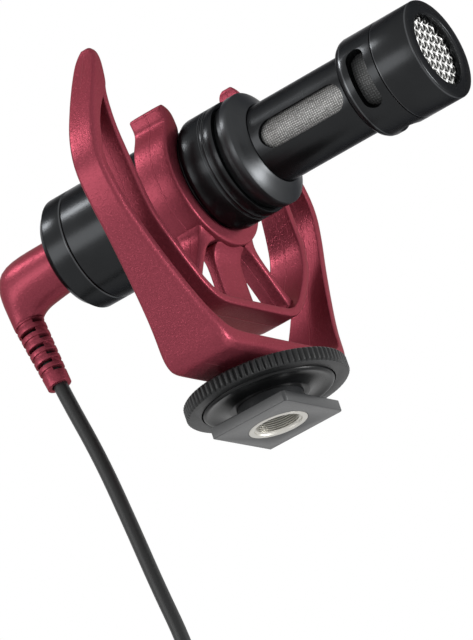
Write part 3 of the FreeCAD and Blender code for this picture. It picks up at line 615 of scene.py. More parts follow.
def foam_finish(name, colour, slot):
    """Open foam or felt."""
    finish = Finish(name, colour, 0.95, slot, Specular_IOR_Level=0.2)
    cells = finish.node("ShaderNodeTexVoronoi", values={"Vector": finish.spot, "Scale": 3.0})
    fuzz = finish.noise(6.0, 3.0, 0.7)
    return finish.made(finish.tones(cells.step(0.1, 0.7), 0.5, 1.3), cells * 0.7 + fuzz * 0.3, 0.15)


def board_finish(name, colour, slot):
    """Lacquered circuit board with fine copper tracks."""
    finish = Finish(name, colour, 0.35, slot, Specular_IOR_Level=0.6)
    along, across, _ = finish.parts()
    tracks = ((along * 2.4).wave() * (across * 3.1).wave()).step(0.35, 0.5)
    base = finish.tones(finish.noise(2.0), 0.8, 1.2)
    return finish.made(finish.mix(tracks, base, tone(colour, 2.2)), tracks, 0.04)


def cable_finish(name, colour):
    """Smooth soft cable sheath with a fine skin."""
    finish = Finish(name, colour, 0.42, "cable_black", Specular_IOR_Level=0.35)
    skin = finish.noise(2.5, 3.0, 0.6)
    return finish.made(finish.tones(finish.noise(0.2), 0.8, 1.25), skin, 0.008, skin * 0.14 + 0.34)


# Camera and lamps in metres; each lamp has its place, width and height
CAMERA_PLACE = (0.44482, -0.8156, -0.30138)
CAMERA_TURN = (1.922334, 0.310865, 0.612108)
CAMERA_LENS = 312.98
LAMPS = {
    "key": ((-0.54, -1.03, 0.06), 1.1, 0.5),
    "top": ((-0.66, -0.42, 0.9), 0.19, 0.17),
    "front": ((0.66, 0.155, -0.085), 0.2, 0.2),
    "low": ((0.33, -0.14, -0.35), 0.09, 0.08),
}
LAMP_AIM = (0.0, 0.0, 0.035)
FLOOR_SIZE = 6.0


def add_lamp(name, place, power, width, height):
    """Soft lamp that points at the object and is not seen itself."""
    aim = Vector(LAMP_AIM) - Vector(place)
    bpy.ops.object.light_add(type="AREA", location=place,
                             rotation=aim.to_track_quat("-Z", "Y").to_euler())
    lamp = given(named(name), visible_camera=False)
    given(lamp.data, shape="RECTANGLE", energy=power, size=width, size_y=height)


def floor_paint(colour):
    """Matt pale paint, paler to the camera, that reflections and glass see as plain white."""
    paint = bpy.data.materials.new("Floor paint")
    tree = Network(paint)
    camera, glossy, through = tree.rays()
    matt = tree.node("ShaderNodeBsdfPrincipled", values={"Base Color": (*colour, 1.0), "Roughness": 0.9})
    glow = tree.node("ShaderNodeEmission", values={"Color": WHITE, "Strength": 1.0})
    seen = tree.node("ShaderNodeMixShader", values={0: glossy + through + camera * 0.75, 1: matt, 2: glow})
    tree.node("ShaderNodeOutputMaterial", values={"Surface": seen})
    return paint


def add_world(context, ambient):
    """Even light, white where the camera or a reflection sees it."""
    world = bpy.data.worlds.new("Studio")
    context.scene.world = world
    tree = Network(world)
    camera, glossy, through = tree.rays()
    seen = camera.math("MAXIMUM", glossy).math("MAXIMUM", through)
    light = tree.node("ShaderNodeBackground", values={"Strength": ambient})
    white = tree.node("ShaderNodeBackground", values={"Color": WHITE, "Strength": 1.0})
    chosen = tree.node("ShaderNodeMixShader", values={0: seen, 1: light, 2: white})
    tree.node("ShaderNodeOutputWorld", values={"Surface": chosen})


class OBJECT_OT_mic_stage(bpy.types.Operator):
    """Camera, lamps, world and floor"""
    bl_idname = "object.mic_stage"
    bl_label = "Stage"

    def execute(self, context):
        stage = context.scene.mic_stage
        fresh()
        bpy.ops.object.camera_add(location=CAMERA_PLACE, rotation=CAMERA_TURN)
        camera = named("Camera")
        given(camera.data, lens=CAMERA_LENS, sensor_width=36.0, clip_start=0.02, clip_end=20.0)
        context.scene.camera = camera
        for label, (place, width, height) in LAMPS.items():
            add_lamp(label.title(), place, getattr(stage, label), width, height)
        add_world(context, stage.ambient)
        bpy.ops.mesh.primitive_plane_add(size=FLOOR_SIZE, location=(0.0, 0.0, -stage.depth))
        floor = based("Floor")
        floor.data.materials.append(floor_paint(stage.floor))
        return {"FINISHED"}


# Free run of the cable from the plug's housing down to the coil, in metres
CABLE_ROUTE = [
    (-0.04197, 0.0, 0.0401),
    (-0.0397, 0.0, 0.0256),
    (-0.0366, 0.0, 0.011),
    (-0.0349, 0.0, -0.0032),
    (-0.0336, 0.0, -0.016),
    (-0.032, 0.0, -0.0276),
    (-0.032, 0.0, -0.0385),
]
COIL_TAIL = Vector((0, 0, 0.0028))
HALF_TURN_POINTS = 8
# Layer of the coil in which each half turn starts, and the last one ends
COIL_LAYERS = [0, 0, 0, 0, 1, 1, 2]


def coil_points(sizes):
    """Points of the coil's half turns from the end of the free run."""
    step = sizes.coil_step / 2
    first = sizes.coil_radius
    radii = [first, first - step, first - 2 * step, sizes.climb_radius, first - 2 * step, first - step]
    level = Vector(CABLE_ROUTE[-1]) - COIL_TAIL
    points = [level]
    place = 0.0
    for number, radius in enumerate(radii):
        way = -1 if number % 2 == 0 else 1
        low = COIL_LAYERS[number] * sizes.coil_step
        rise = (COIL_LAYERS[number + 1] - COIL_LAYERS[number]) * sizes.coil_step
        middle = place + way * radius
        for part in range(1, HALF_TURN_POINTS + 1):
            share = part / HALF_TURN_POINTS
            angle = math.pi * share
            points.append(level + Vector((middle - way * radius * math.cos(angle), low + rise * share,
                                          way * radius * math.sin(angle))))
        place = middle + way * radius
    points.append(points[-1] - COIL_TAIL)
    return points


class OBJECT_OT_mic_cable(bpy.types.Operator):
    """Cable with its coil, tie and far plug"""
    bl_idname = "object.mic_cable"
    bl_label = "Cable"

    def execute(self, context):
        sizes = context.scene.mic_cord
        colour = context.scene.mic_colours.cable
        points = [Vector(point) for point in CABLE_ROUTE] + coil_points(sizes)
        line = given(bpy.data.curves.new("signal_cable", "CURVE"), dimensions="3D", bevel_resolution=5,
                     bevel_depth=sizes.thickness / 2, use_fill_caps=True)
        spline = line.splines.new("NURBS")
        spline.points.add(len(points) - 1)
        for spot, point in zip(spline.points, points):
            spot.co = (*point, 1.0)
        given(spline, order_u=3, use_endpoint_u=True, resolution_u=6)
        cable = bpy.data.objects.new("signal_cable", line)
        context.scene.collection.objects.link(cable)
        cable_finish("Cable sheath", colour).on(cable)
        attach(cable, "plug")
        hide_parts("cable", "cable_coil")
        relief = dressed("far_relief", "far_plug_relief", 0.15)
        body = dressed("far_plug_body", "far_plug_housing", 0.0)
        tie = dressed("cable_tie", "coil_tie", 0.15)
        plastic_finish("Far plug rubber", colour, "cable_black", 0.5, 3.0).on(relief, body)
        plastic_finish("Tie strap", colour, "tie_black", 0.55, 1.5, 0.05).on(tie)
        for piece in (relief, body, tie):
            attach(piece, "plug")
        return {"FINISHED"}


# Front view of the lyre from shares of its half width and height, from the horn's tip down
HORN_SIDES = [
    ((0.656, 0.999), (0.638, 0.999), 0.13),
    ((0.669, 0.982), (0.626, 0.984), 0.265),
    ((0.698, 0.956), (0.638, 0.954), 0.338),
    ((0.74, 0.92), (0.653, 0.92), 0.36),
    ((0.779, 0.887), (0.672, 0.882), 0.374),
    ((0.806, 0.862), (0.688, 0.858), 0.383),
]
ARM_OUTER = [
    (0.834, 0.838), (0.881, 0.793), (0.943, 0.729), (0.983, 0.666), (1.0, 0.618), (0.994, 0.572),
    (0.969, 0.523), (0.938, 0.473), (0.903, 0.427), (0.821, 0.332), (0.736, 0.236), (0.693, 0.188),
]
ARM_WALLS = [1.35, 1.1, 1.03] + [1.0] * 7 + [1.02, 1.06]
BASE_SIDES = [
    ((0.651, 0.139), (0.591, 0.158)),
    ((0.607, 0.092), (0.55, 0.117)),
    ((0.583, 0.06), (0.516, 0.098)),
    ((0.545, 0.033), (0.476, 0.0895)),
    ((0.48, 0.03), (0.43, 0.086)),
    ((0.369, 0.03), (0.369, 0.0835)),
    ((0.18, 0.03), (0.18, 0.0835)),
    ((0.0, 0.03), (0.0, 0.0835)),
]
LYRE_DEPTHS = [
    (0.95, 0.03), (0.96, 0.066), (0.93, 0.095), (0.806, 0.141), (0.708, 0.189), (0.639, 0.236),
    (0.528, 0.332), (0.444, 0.427), (0.417, 0.523), (0.405, 0.618), (0.417, 0.7), (0.392, 0.793),
    (0.385, 0.857),
]
LYRE_HALF_LENGTH = 7.2
# Rounding of the lyre's outer edges against the height, of its other edges, and where the tips begin
EDGE_WIDTHS = [(2.7, 14.0), (1.6, 22.0), (1.45, 34.0), (1.2, 50.0), (0.9, 66.0), (0.6, 70.0)]
FINE_EDGE = 0.45
TIP_LEVEL = 70.8
BOSS_TOP = 10.9
BOSS_BORE = 6.15
STRAP_OUTER = [
    (0.728, 0.875), (0.747, 0.8456), (0.753, 0.793), (0.756, 0.729), (0.744, 0.666), (0.733, 0.602),
    (0.726, 0.54), (0.716, 0.475), (0.7, 0.441), (0.676, 0.411), (0.646, 0.378), (0.611, 0.3475),
    (0.568, 0.314), (0.523, 0.284), (0.474, 0.252), (0.41, 0.222), (0.35, 0.205), (0.284, 0.198),
    (0.14, 0.198), (0.0, 0.198),
]
STRAP_WALLS = [1.0, 0.95, 0.8, 0.78, 0.9] + [1.0] * 15
STRAP_DEPTHS = [
    (1.0, 0.19), (1.0, 0.3), (0.98, 0.37), (0.9, 0.43), (0.82, 0.49), (0.73, 0.56), (0.68, 0.63),
    (0.66, 0.75), (0.64, 0.8456),
]
STRAP_HALF_LENGTH = 4.2


def edge_widths(yoke, outer):
    """Rounds the long edges, wide on the outer faces and fine inside."""
    widest = EDGE_WIDTHS[0][0]
    spots = {(round(across, 1), round(level, 1)) for across, level in outer}
    mesh = yoke.data
    weights = []
    for edge in mesh.edges:
        first, last = [mesh.vertices[number].co / MM for number in edge.vertices]
        outside = [(round(abs(end.y), 1), round(end.z, 1)) in spots for end in (first, last)]
        if min(first.z, last.z) > TIP_LEVEL:
            width = FINE_EDGE
        elif first.x * last.x < 0 or outside[0] != outside[1]:
            width = 0.0
        else:
            width = between(EDGE_WIDTHS, (first.z + last.z) / 2) if outside[0] else FINE_EDGE
        weights.append(width / widest)
    labels = mesh.attributes.new("bevel_weight_edge", "FLOAT", "EDGE")
    labels.data.foreach_set("value", weights)
    modified(yoke, "BEVEL", width=widest * MM, segments=4, limit_method="WEIGHT", use_clamp_overlap=True)


class OBJECT_OT_mic_lyre(bpy.types.Operator):
    """Outer lyre: base, boss, two arms and horns"""
    bl_idname = "object.mic_lyre"
    bl_label = "Lyre"

    def execute(self, context):
        sizes = context.scene.mic_lyre
        half = [(lyre_point(*outer), lyre_point(*inner), depth * LYRE_HALF_LENGTH)
                for outer, inner, depth in HORN_SIDES]
        half += walled(ARM_OUTER, ARM_WALLS, sizes.arm_wall / MM, LYRE_DEPTHS, LYRE_HALF_LENGTH)
        for low, high in BASE_SIDES:
            depth = between(LYRE_DEPTHS, (low[1] + high[1]) / 2)
            half.append((lyre_point(*low), lyre_point(*high), depth * LYRE_HALF_LENGTH))
        yoke = ribbon("lyre_frame", both_sides(half))
        edge_widths(yoke, [row[0] for row in half])
        softened(yoke)
        radius = sizes.boss_radius / MM
        boss = turned("lyre_boss", [(BASE_BOTTOM, BOSS_BORE), (BASE_BOTTOM, radius), (BOSS_TOP, radius),
                                    (BOSS_TOP, BOSS_BORE)], 0.3, "Z", 64)
        yoke = smooth(joined([yoke, boss], "lyre_frame"), 40.0)
        burgundy_finish("Burgundy lyre", "inner").on(yoke)
        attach(yoke, "mount")
        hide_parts("lyre_yoke")
        return {"FINISHED"}


class OBJECT_OT_mic_strap(bpy.types.Operator):
    """Inner strap that flexes"""
    bl_idname = "object.mic_strap"
    bl_label = "Strap"

    def execute(self, context):
        sizes = context.scene.mic_lyre
        wall = sizes.strap_wall / MM
        half = walled(STRAP_OUTER, STRAP_WALLS, wall, STRAP_DEPTHS, STRAP_HALF_LENGTH)
        lowest, _, length = half[-1]
        half[-1] = (lowest, (0.0, lowest[1] + wall), length)
        strap = ribbon("inner_strap", both_sides(half))
        smooth(softened(rounded(strap, sizes.strap_edge, 38.0)), 40.0)
        burgundy_finish("Burgundy strap", "all").on(strap)
        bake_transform(strap)
        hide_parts("lyre_strap")
        return {"FINISHED"}


def clip_side(angle, radius):
    """Point (y, z) from an angle and a distance to the microphone's axis."""
    return radius * math.cos(math.radians(angle)), MIC_LEVEL + radius * math.sin(math.radians(angle))


CLIP_OUTER = 13.5
CLIP_INNER = 9.96
# Clip from the right-hand lip's tip to near its lowest point: (angle, radius) outside and inside
CLIP_SIDES = [
    ((52.5, 16.3), (56.0, 16.3)),
    ((51.3, 15.5), (58.8, 15.3)),
    ((50.0, 14.75), (61.0, 14.35)),
    ((47.5, 14.0), (61.3, 13.3)),
    ((43.5, 13.65), (59.0, 11.9)),
    ((38.0, CLIP_OUTER), (55.8, 10.6)),
    ((31.0, CLIP_OUTER), (49.0, CLIP_INNER)),
    ((22.0, CLIP_OUTER), (34.0, CLIP_INNER)),
    ((8.0, CLIP_OUTER), (14.0, CLIP_INNER)),
    ((-6.0, CLIP_OUTER), (-4.0, CLIP_INNER)),
] + [((angle, CLIP_OUTER), (angle, CLIP_INNER)) for angle in (-20.0, -34.0, -48.0, -62.0, -76.0)]
# Middle spoke: levels under the microphone's axis and in the strap, length along the microphone
WEB_TOP = 12.8
WEB_FOOT = 22.0
WEB_LENGTH = 8.8
# Slanted spokes: the right-hand one's start as (angle, radius), and its foot as (y, z)
SPOKE_TOP = (-59.5, 12.9)
SPOKE_FOOT = (15.4, 24.1)
# Spoke's thickness against the share of its length, from the ring to the strap
SPOKE_FLARES = [(0.0, 3.0), (0.06, 2.1), (0.13, 1.5), (0.22, 1.15), (0.34, 1.0), (0.7, 1.0), (0.86, 1.1),
                (0.94, 1.45), (1.0, 2.1)]


def spoke(top, foot, length, thickness, sizes, across=False):
    """Spoke with flared ends, from (y, z) at the ring to (y, z) in the strap."""
    start = Vector((0, *top)) * MM
    run = Vector((0, foot[0] - top[0], foot[1] - top[1])) * MM
    angle = math.atan2(run.z, run.y) + math.pi / 2
    stations = []
    for share, flare in SPOKE_FLARES:
        wide = thickness * flare if across else length * (0.85 + 0.15 * flare)
        thin = length if across else thickness * flare
        stations.append((start + run * share, angle, wide * MM, thin * MM))
    return softened(rounded(swept("clip_spoke", "X", stations), sizes.edge * 0.8, 38.0), 1)


class OBJECT_OT_mic_clip(bpy.types.Operator):
    """Open clip with flared lips and its three spokes"""
    bl_idname = "object.mic_clip"
    bl_label = "Clip"

    def execute(self, context):
        sizes = context.scene.mic_lyre
        half_length = sizes.clip_length / MM / 2
        right = [(clip_side(*outer), clip_side(*inner), half_length) for outer, inner in CLIP_SIDES]
        low = (0.0, MIC_LEVEL - CLIP_OUTER), (0.0, MIC_LEVEL - CLIP_INNER), half_length
        ring = softened(rounded(ribbon("mic_clamp", both_sides(right + [low])), sizes.edge, 38.0))
        pieces = [ring, spoke((0.0, MIC_LEVEL - WEB_TOP), (0.0, WEB_FOOT), WEB_LENGTH,
                                   sizes.web_thickness / MM, sizes, True)]
        angle, radius = SPOKE_TOP
        for top, side in ((180.0 - angle, -1), (angle, 1)):
            pieces.append(spoke(clip_side(top, radius), (side * SPOKE_FOOT[0], SPOKE_FOOT[1]),
                                     sizes.spoke_length / MM, sizes.spoke_thickness / MM, sizes))
        clip = smooth(joined(pieces, "mic_clamp"), 40.0)
        burgundy_finish("Burgundy clip", "all").on(clip)
        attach(clip, "cradle")
        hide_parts("mic_clip")
        return {"FINISHED"}


# Insert's thread: number of grooves, levels between which they lie, radii of its valleys and crests
THREADS = 14
THREAD_START = 0.35
THREAD_END = 5.75
THREAD_VALLEY = 4.38
THREAD_CREST = 3.99


class OBJECT_OT_mic_foot(bpy.types.Operator):
    """Shoe foot with its insert, screw and nut"""
    bl_idname = "object.mic_foot"
    bl_label = "Foot"

    def execute(self, context):
        colours = context.scene.mic_colours
        foot = dressed("shoe_foot", "foot_plate", 0.16)
        # Painted light: the foot takes a lighter copy of the plastic colour, for its brightly lit underside
        plastic_finish("Foot plastic", tone(colours.plastic, 1.3)[:3], "dark_plastic", 0.36, 3.0, 0.012,
                       0.6).on(foot)
        pitch = (THREAD_END - THREAD_START) / THREADS
        profile = [(0.02, 5.45), (0.02, 4.45)]
        for number in range(THREADS):
            profile += [(THREAD_START + pitch * number, THREAD_VALLEY),
                        (THREAD_START + pitch * (number + 0.5), THREAD_CREST)]
        insert = turned("thread_sleeve", profile + [(5.78, 4.1), (5.78, 5.45)], 0.05, "Z")
        # Painted light: the insert takes a lighter copy of the steel colour, for its brightly lit bore
        steel_finish("Insert steel", tone(colours.steel, 1.3)[:3], "insert_steel", 0.34).on(insert)
        screw = dressed("base_screw", "base_fastener", 0.1)
        steel_finish("Screw steel", tone(colours.steel, 0.8)[:3], "screw_steel",
                     0.35).on(screw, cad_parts["base_nut"])
        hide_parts("thread_insert")
        for piece in (foot, insert, screw):
            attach(piece, "mount")
        return {"FINISHED"}


# Section of the dished plate: (level, radius)
PLATE_PROFILE = [
    (4.69, 6.18), (4.69, 7.4), (5.0, 8.0), (5.35, 9.2), (5.4, 10.4), (5.18, 11.2), (5.06, 11.55),
    (5.06, 11.85), (5.25, 12.15), (5.6, 12.25), (6.51, 12.25), (6.51, 6.18),
]


class OBJECT_OT_mic_ring(bpy.types.Operator):
    """Ribbed lock ring and dished clamp plate"""
    bl_idname = "object.mic_ring"
    bl_label = "Lock ring"

    def execute(self, context):
        colour = context.scene.mic_colours.plastic
        ring = dressed("lock_ring", "ribbed_ring", 0.1, 30.0)
        plate = turned("dished_plate", PLATE_PROFILE, 0.08, "Z")
        # Painted shade: the ring and the plate take darker copies of the plastic colour, for their shaded
        # faces that look down
        plastic_finish("Ring plastic", tone(colour, 0.5)[:3], "dark_plastic", 0.42, 3.0, 0.02, 0.3).on(ring)
        plastic_finish("Plate plastic", tone(colour, 0.4)[:3], "dark_plastic", 0.3, 3.0, 0.01,
                       0.15).on(plate)
        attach(ring, "ring")
        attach(plate, "clamp")
        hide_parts("clamp_plate")
        return {"FINISHED"}


# Turned pieces of the body: CAD node, share of the edge rounding, profile of (place, radius)
GROOVE_RADIUS = 10.73
BODY_PIECES = {
    "front_tube": ("front_barrel", 0.5, [
        (3.95, 9.45), (3.95, 9.85), (4.05, 10.3), (4.35, 10.65), (4.75, 10.86), (5.25, BODY_RADIUS),
        (9.0, BODY_RADIUS), (9.0, GROOVE_RADIUS), (9.3, GROOVE_RADIUS), (9.3, BODY_RADIUS),
        (9.9, BODY_RADIUS), (9.9, GROOVE_RADIUS), (10.2, GROOVE_RADIUS), (10.2, BODY_RADIUS),
        (12.0, BODY_RADIUS), (12.0, 9.45)]),
    "rear_tube": ("rear_barrel", 0.5, [
        (-3.95, 9.45), (-3.95, 9.85), (-4.05, 10.3), (-4.35, 10.65), (-4.75, 10.86), (-5.25, BODY_RADIUS),
        (-22.63, BODY_RADIUS), (-22.85, GROOVE_RADIUS), (-22.85, 9.45)]),
    "rear_end": ("rear_cap", 1.0, [
        (-28.6, 3.05), (-28.6, 9.55), (-27.65, 10.4), (-27.1, BODY_RADIUS), (-23.07, BODY_RADIUS),
        (-22.85, GROOVE_RADIUS), (-22.85, 9.4), (-20.0, 9.4), (-20.0, 8.6), (-26.6, 8.6), (-26.6, 3.05)]),
    "waist_tube": ("body_core", 1.0, [
        (-19.6, 8.6), (-19.6, 9.4), (-3.95, 9.4), (-3.95, 9.9), (3.95, 9.9), (3.95, 9.4), (9.4, 9.4),
        (9.4, 8.6)]),
    "bevelled_collar": ("flange_collar", 1.0, [
        (9.6, 8.6), (9.6, 9.4), (12.0, 9.4), (12.0, 10.15), (13.8, 10.15), (13.8, 10.9), (15.5, 10.9),
        (16.2, 9.62), (16.9, 8.42), (17.4, 7.78), (17.4, 7.6), (14.3, 7.6), (14.3, 8.6)]),
}
# Places along the microphone where the metal is painted lighter, as painted highlight lines
BODY_HIGHLIGHT_RIMS = (-23.1, 9.0, 9.9)
HEAD_HIGHLIGHT_RIMS = (39.5, 46.3, 53.9)


class OBJECT_OT_mic_body(bpy.types.Operator):
    """Turned barrels, waist, rear cap and collar"""
    bl_idname = "object.mic_body"
    bl_label = "Body"

    def execute(self, context):
        colour = context.scene.mic_colours.anodised
        edge = context.scene.mic_sizes.edge / MM
        body = turned_finish("Black body metal", colour, highlight_rims=BODY_HIGHLIGHT_RIMS)
        # Painted highlight: the collar takes a lighter copy of the black metal so its bevel reflects
        # brighter
        collar = turned_finish("Black collar metal", tone(colour, 1.8)[:3], 0.3)
        for name, (node, share, profile) in BODY_PIECES.items():
            piece = turned(name, profile, edge * share)
            (collar if node == "flange_collar" else body).on(piece)
            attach(piece, "mic")
            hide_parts(node)
        return {"FINISHED"}


# Degrees about the microphone's axis of the first of three windows, or of three slots
FIRST_OPENING = 190.0


def round_cutter(corners, radius, depth, place, out):
    """Cylinder across the microphone's axis, at a place along it and a distance out."""
    fresh()
    bpy.ops.mesh.primitive_cylinder_add(vertices=corners, radius=radius, depth=depth * MM,
                                        location=(place, out * MM, AXIS[2]), rotation=(math.pi / 2, 0, 0))
    return based("cutter")


def three_round(cutter):
    """A cutter at the first opening and its copies a third of a turn apart, as one."""
    revolved(cutter, math.radians(FIRST_OPENING))
    copies = [revolved(copied(cutter), math.radians(angle)) for angle in (120.0, 240.0)]
    return joined([cutter] + copies, "cutter")


WINDOW_MIDDLE = 28.1
NECK_PROFILE = [(14.3, 6.6), (14.3, 7.56), (39.4, 7.56), (39.4, 6.6)]


def windows(sizes):
    """Three long round-ended cutters round the neck."""
    middle = WINDOW_MIDDLE * MM
    window = round_cutter(48, sizes.window_width / 2, 6, middle, 8)
    reach = (sizes.window_length - sizes.window_width) / 2
    for side in (-1, 1):
        pick(window, lambda place: (place.x - middle) * side > 0.0001 * MM)
        bpy.ops.transform.translate(value=(side * reach, 0, 0))
    leave()
    return three_round(window)


class OBJECT_OT_mic_neck(bpy.types.Operator):
    """Neck tube with its windows, and the mesh in them"""
    bl_idname = "object.mic_neck"
    bl_label = "Neck"

    def execute(self, context):
        colours = context.scene.mic_colours
        neck = turned("window_tube", NECK_PROFILE, 0.0, steps=128)
        cut(neck, windows(context.scene.mic_sizes))
        smooth(rounded(neck, 0.2 * MM, 40.0, 3), 30.0)
        turned_finish("Black neck metal", colours.anodised).on(neck)
        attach(neck, "mic")
        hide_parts("neck_tube")
        mesh_finish("Neck mesh", colours.neck_mesh, 0.43).on(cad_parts["neck_mesh"])
        foam_finish("Dark felt", shade(28, 28, 28), "dark_felt").on(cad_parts["neck_felt"])
        return {"FINISHED"}


# Sound slots: where they begin along the microphone, half their sweep in degrees, cutters' distance out
SLOT_START = 40.8
SLOT_SWEEP = 35.0
SLOT_OUT = 9.2
SLOT_DEPTH = 5
SLOT_RING_PROFILE = [
    (38.0, 7.6), (38.0, 8.07), (38.1, 8.6), (38.4, 9.1), (38.9, 9.43), (39.5, HEAD_RADIUS),
    (46.1, HEAD_RADIUS), (46.1, 8.55), (48.3, 8.55), (48.3, 7.9), (39.4, 7.9), (39.4, 7.6),
]
HEAD_CAP_PROFILE = [
    (46.1, 8.6), (46.1, 9.37), (46.32, HEAD_RADIUS), (53.86, HEAD_RADIUS), (54.14, 9.45), (54.26, 9.17),
    (54.26, 7.1), (54.06, 6.9), (52.66, 6.9), (52.66, 8.6),
]
GRILLE_PLACE = 52.3


def slots(sizes):
    """Three curved round-ended cutters round the head."""
    width = sizes.slot_width
    middle = SLOT_START * MM + width / 2
    sweep = math.radians(SLOT_SWEEP) - math.asin(width / 2 / (HEAD_RADIUS * MM))
    start = (middle, SLOT_OUT * MM, AXIS[2])
    ends = [revolved(round_cutter(40, width / 2, SLOT_DEPTH, middle, SLOT_OUT), side * sweep)
            for side in (-1, 1)]
    fresh()
    bpy.ops.mesh.primitive_plane_add(size=1, location=start)
    bar = based("cutter")
    edit(bar)
    bpy.ops.transform.resize(value=(width, SLOT_DEPTH * MM, 1), center_override=start)
    turn("X", -sweep, AXIS)
    bpy.ops.mesh.spin(steps=24, angle=-2 * sweep, center=AXIS, axis=(1, 0, 0), dupli=False)
    leave()
    return three_round(joined(ends + [sewn(bar)], "cutter"))


def woven_disc(sizes):
    """Grille woven from wavy wires, each as long as the disc is wide there."""
    pitch = sizes.pitch
    place = GRILLE_PLACE * MM
    reach = sizes.grille_radius
    count = int(reach / pitch)
    wires = []
    for number in range(-count, count + 1):
        lift = sizes.wire / 2 * (-1 if number % 2 else 1)
        half = math.sqrt(reach ** 2 - (number * pitch) ** 2)
        stations = []
        for row in range(int(2 * reach / pitch * 4) + 1):
            side = -reach + row * pitch / 4
            phase = math.pi * side / pitch
            spot = Vector((place + lift * math.cos(phase), number * pitch, AXIS[2] + side))
            slope = -math.atan(math.sin(phase) * math.pi * lift / pitch)
            if abs(spot.z - AXIS[2]) <= half:
                stations.append((spot, slope, sizes.wire, sizes.wire))
        if len(stations) > 2:
            wires.append(swept("grille_wire", "Y", stations, 8))
    warp = joined(wires, "woven_grille")
    weft = revolved(copied(warp), math.pi / 2)
    edit(weft)
    bpy.ops.transform.resize(value=(-1, 1, 1), center_override=(place, 0, AXIS[2]))
    leave()
    grille = revolved(joined([warp, weft], "woven_grille"), math.radians(45.0))
    return smooth(sewn(grille), 50.0)


class OBJECT_OT_mic_head(bpy.types.Operator):
    """Head: slotted rear ring, front sleeve and woven grille"""
    bl_idname = "object.mic_head"
    bl_label = "Head"

    def execute(self, context):
        sizes = context.scene.mic_sizes
        colours = context.scene.mic_colours
        ring = turned("slotted_ring", SLOT_RING_PROFILE, 0.0, steps=144)
        cut(ring, slots(sizes))
        smooth(sewn(rounded(ring, 0.22 * MM, 40.0, 3)), 30.0)
        cap = turned("front_sleeve", HEAD_CAP_PROFILE, sizes.edge / MM * 0.5, steps=144)
        turned_finish("Black head metal", colours.anodised, highlight_rims=HEAD_HIGHLIGHT_RIMS).on(ring, cap)
        for piece, node in ((ring, "slot_ring"), (cap, "head_cap")):
            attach(piece, "mic")
            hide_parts(node)
        mesh_finish("Slot mesh", colours.slot_mesh, 0.5).on(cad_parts["slot_mesh"])
        foam_finish("Head foam", shade(24, 24, 24), "grey_foam").on(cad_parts["head_foam"])
        grille = woven_disc(sizes)
        steel_finish("Grille wire", colours.wire, "silver_mesh", 0.32).on(grille)
        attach(grille, "mic")
        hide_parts("front_mesh")
        return {"FINISHED"}


# Side view of the plug's housing: outer (x, z), inner (x, z) and half width across
PLUG_SIDES = [
    ((-29.6, 52.3), (-29.6, 42.2), 5.05),
    ((-34.0, 52.3), (-32.2, 41.98), 5.05),
    ((-38.6, 52.28), (-34.4, 41.7), 5.05),
    ((-42.0, 51.85), (-36.2, 41.45), 5.0),
    ((-44.4, 50.3), (-37.3, 41.28), 4.8),
    ((-45.22, 47.6), (-37.95, 41.1), 4.4),
    ((-45.25, 44.8), (-38.35, 40.95), 3.85),
    ((-45.08, 42.2), (-38.75, 40.78), 3.3),
    ((-44.88, 39.65), (-39.05, 40.55), 2.95),
]
PLUG_COLLAR_PROFILE = [(-29.82, 0), (-29.82, 5.4), (-28.72, 5.4), (-28.72, 0)]


class OBJECT_OT_mic_plug(bpy.types.Operator):
    """Right-angle plug with its strain relief"""
    bl_idname = "object.mic_plug"
    bl_label = "Plug"

    def execute(self, context):
        housing = softened(rounded(ribbon("plug_housing", PLUG_SIDES, "Y", 32), 0.3 * MM, 40.0), 1)
        collar = turned("plug_collar", PLUG_COLLAR_PROFILE, 0.3, steps=64)
        housing = smooth(joined([housing, collar], "plug_housing"), 40.0)
        relief = dressed("strain_relief", "plug_relief", 0.12)
        burgundy_finish("Burgundy plug").on(housing, relief)
        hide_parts("plug_body")
        for piece in (housing, relief):
            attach(piece, "plug")
        return {"FINISHED"}


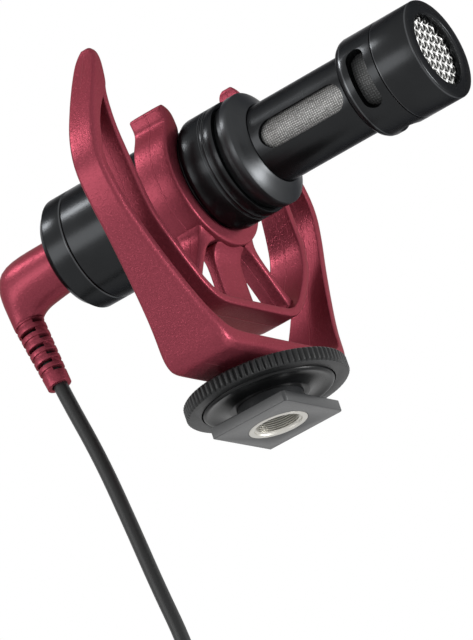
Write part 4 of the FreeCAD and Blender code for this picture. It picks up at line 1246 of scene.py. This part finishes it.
class OBJECT_OT_mic_inside(bpy.types.Operator):
    """Finishes of the pieces inside the microphone and the plugs' contacts"""
    bl_idname = "object.mic_inside"
    bl_label = "Inner pieces"

    def execute(self, context):
        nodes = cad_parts
        gold = steel_finish("Contact metal", shade(214, 178, 98), "contact_gold", 0.22)
        gold.on(nodes["plug_contacts"], nodes["far_contacts"], nodes["jack_contacts"])
        black = plastic_finish("Black insulator", shade(26, 26, 27), "part_black", 0.45)
        black.on(nodes["plug_insulators"], nodes["far_insulators"], nodes["jack_socket"],
                 nodes["board_parts"])
        plastic_finish("Soft rubber", shade(34, 34, 35), "soft_rubber", 0.7).on(nodes["capsule_holder"])
        steel_finish("Capsule metal", shade(190, 190, 186), "capsule_metal", 0.3).on(nodes["capsule"])
        board_finish("Board lacquer", shade(34, 92, 58), "board_green").on(nodes["preamp_board"])
        plastic_finish("Lead sheath", shade(150, 32, 34), "lead_wire", 0.5).on(nodes["capsule_leads"])
        return {"FINISHED"}


OPERATORS = [
    OBJECT_OT_mic_stage, OBJECT_OT_mic_cable, OBJECT_OT_mic_lyre,
    OBJECT_OT_mic_strap, OBJECT_OT_mic_clip, OBJECT_OT_mic_foot,
    OBJECT_OT_mic_ring, OBJECT_OT_mic_body, OBJECT_OT_mic_neck,
    OBJECT_OT_mic_head, OBJECT_OT_mic_plug, OBJECT_OT_mic_inside,
]
SETTINGS = {
    "mic_lyre": LyreSizes,
    "mic_sizes": MicSizes,
    "mic_cord": CordSizes,
    "mic_colours": PartColours,
    "mic_stage": StageSettings,
}


class VIEW3D_PT_microphone(bpy.types.Panel):
    """Sidebar panel with the sizes, the colours and a button for each piece"""
    bl_idname = "VIEW3D_PT_microphone"
    bl_label = "Shoe-mount microphone"
    bl_space_type = "VIEW_3D"
    bl_region_type = "UI"
    bl_category = "Microphone"

    def draw(self, context):
        for setting, group in SETTINGS.items():
            column = self.layout.column(align=True)
            for label in group.__annotations__:
                column.prop(getattr(context.scene, setting), label)
        for operator in OPERATORS:
            self.layout.operator(operator.bl_idname)


CLASSES = [*SETTINGS.values(), *OPERATORS, VIEW3D_PT_microphone]


def register():
    for kind in CLASSES:
        bpy.utils.register_class(kind)
    for setting, group in SETTINGS.items():
        setattr(bpy.types.Scene, setting, bpy.props.PointerProperty(type=group))


def unregister():
    for setting in SETTINGS:
        delattr(bpy.types.Scene, setting)
    for kind in reversed(CLASSES):
        bpy.utils.unregister_class(kind)


def main():
    """Builds the whole scene."""
    register()
    bpy.context.scene.view_settings.view_transform = "Standard"
    for operator in OPERATORS:
        group, name = operator.bl_idname.split(".")
        getattr(getattr(bpy.ops, group), name)()
    fresh()


if __name__ == "__main__":
    main()
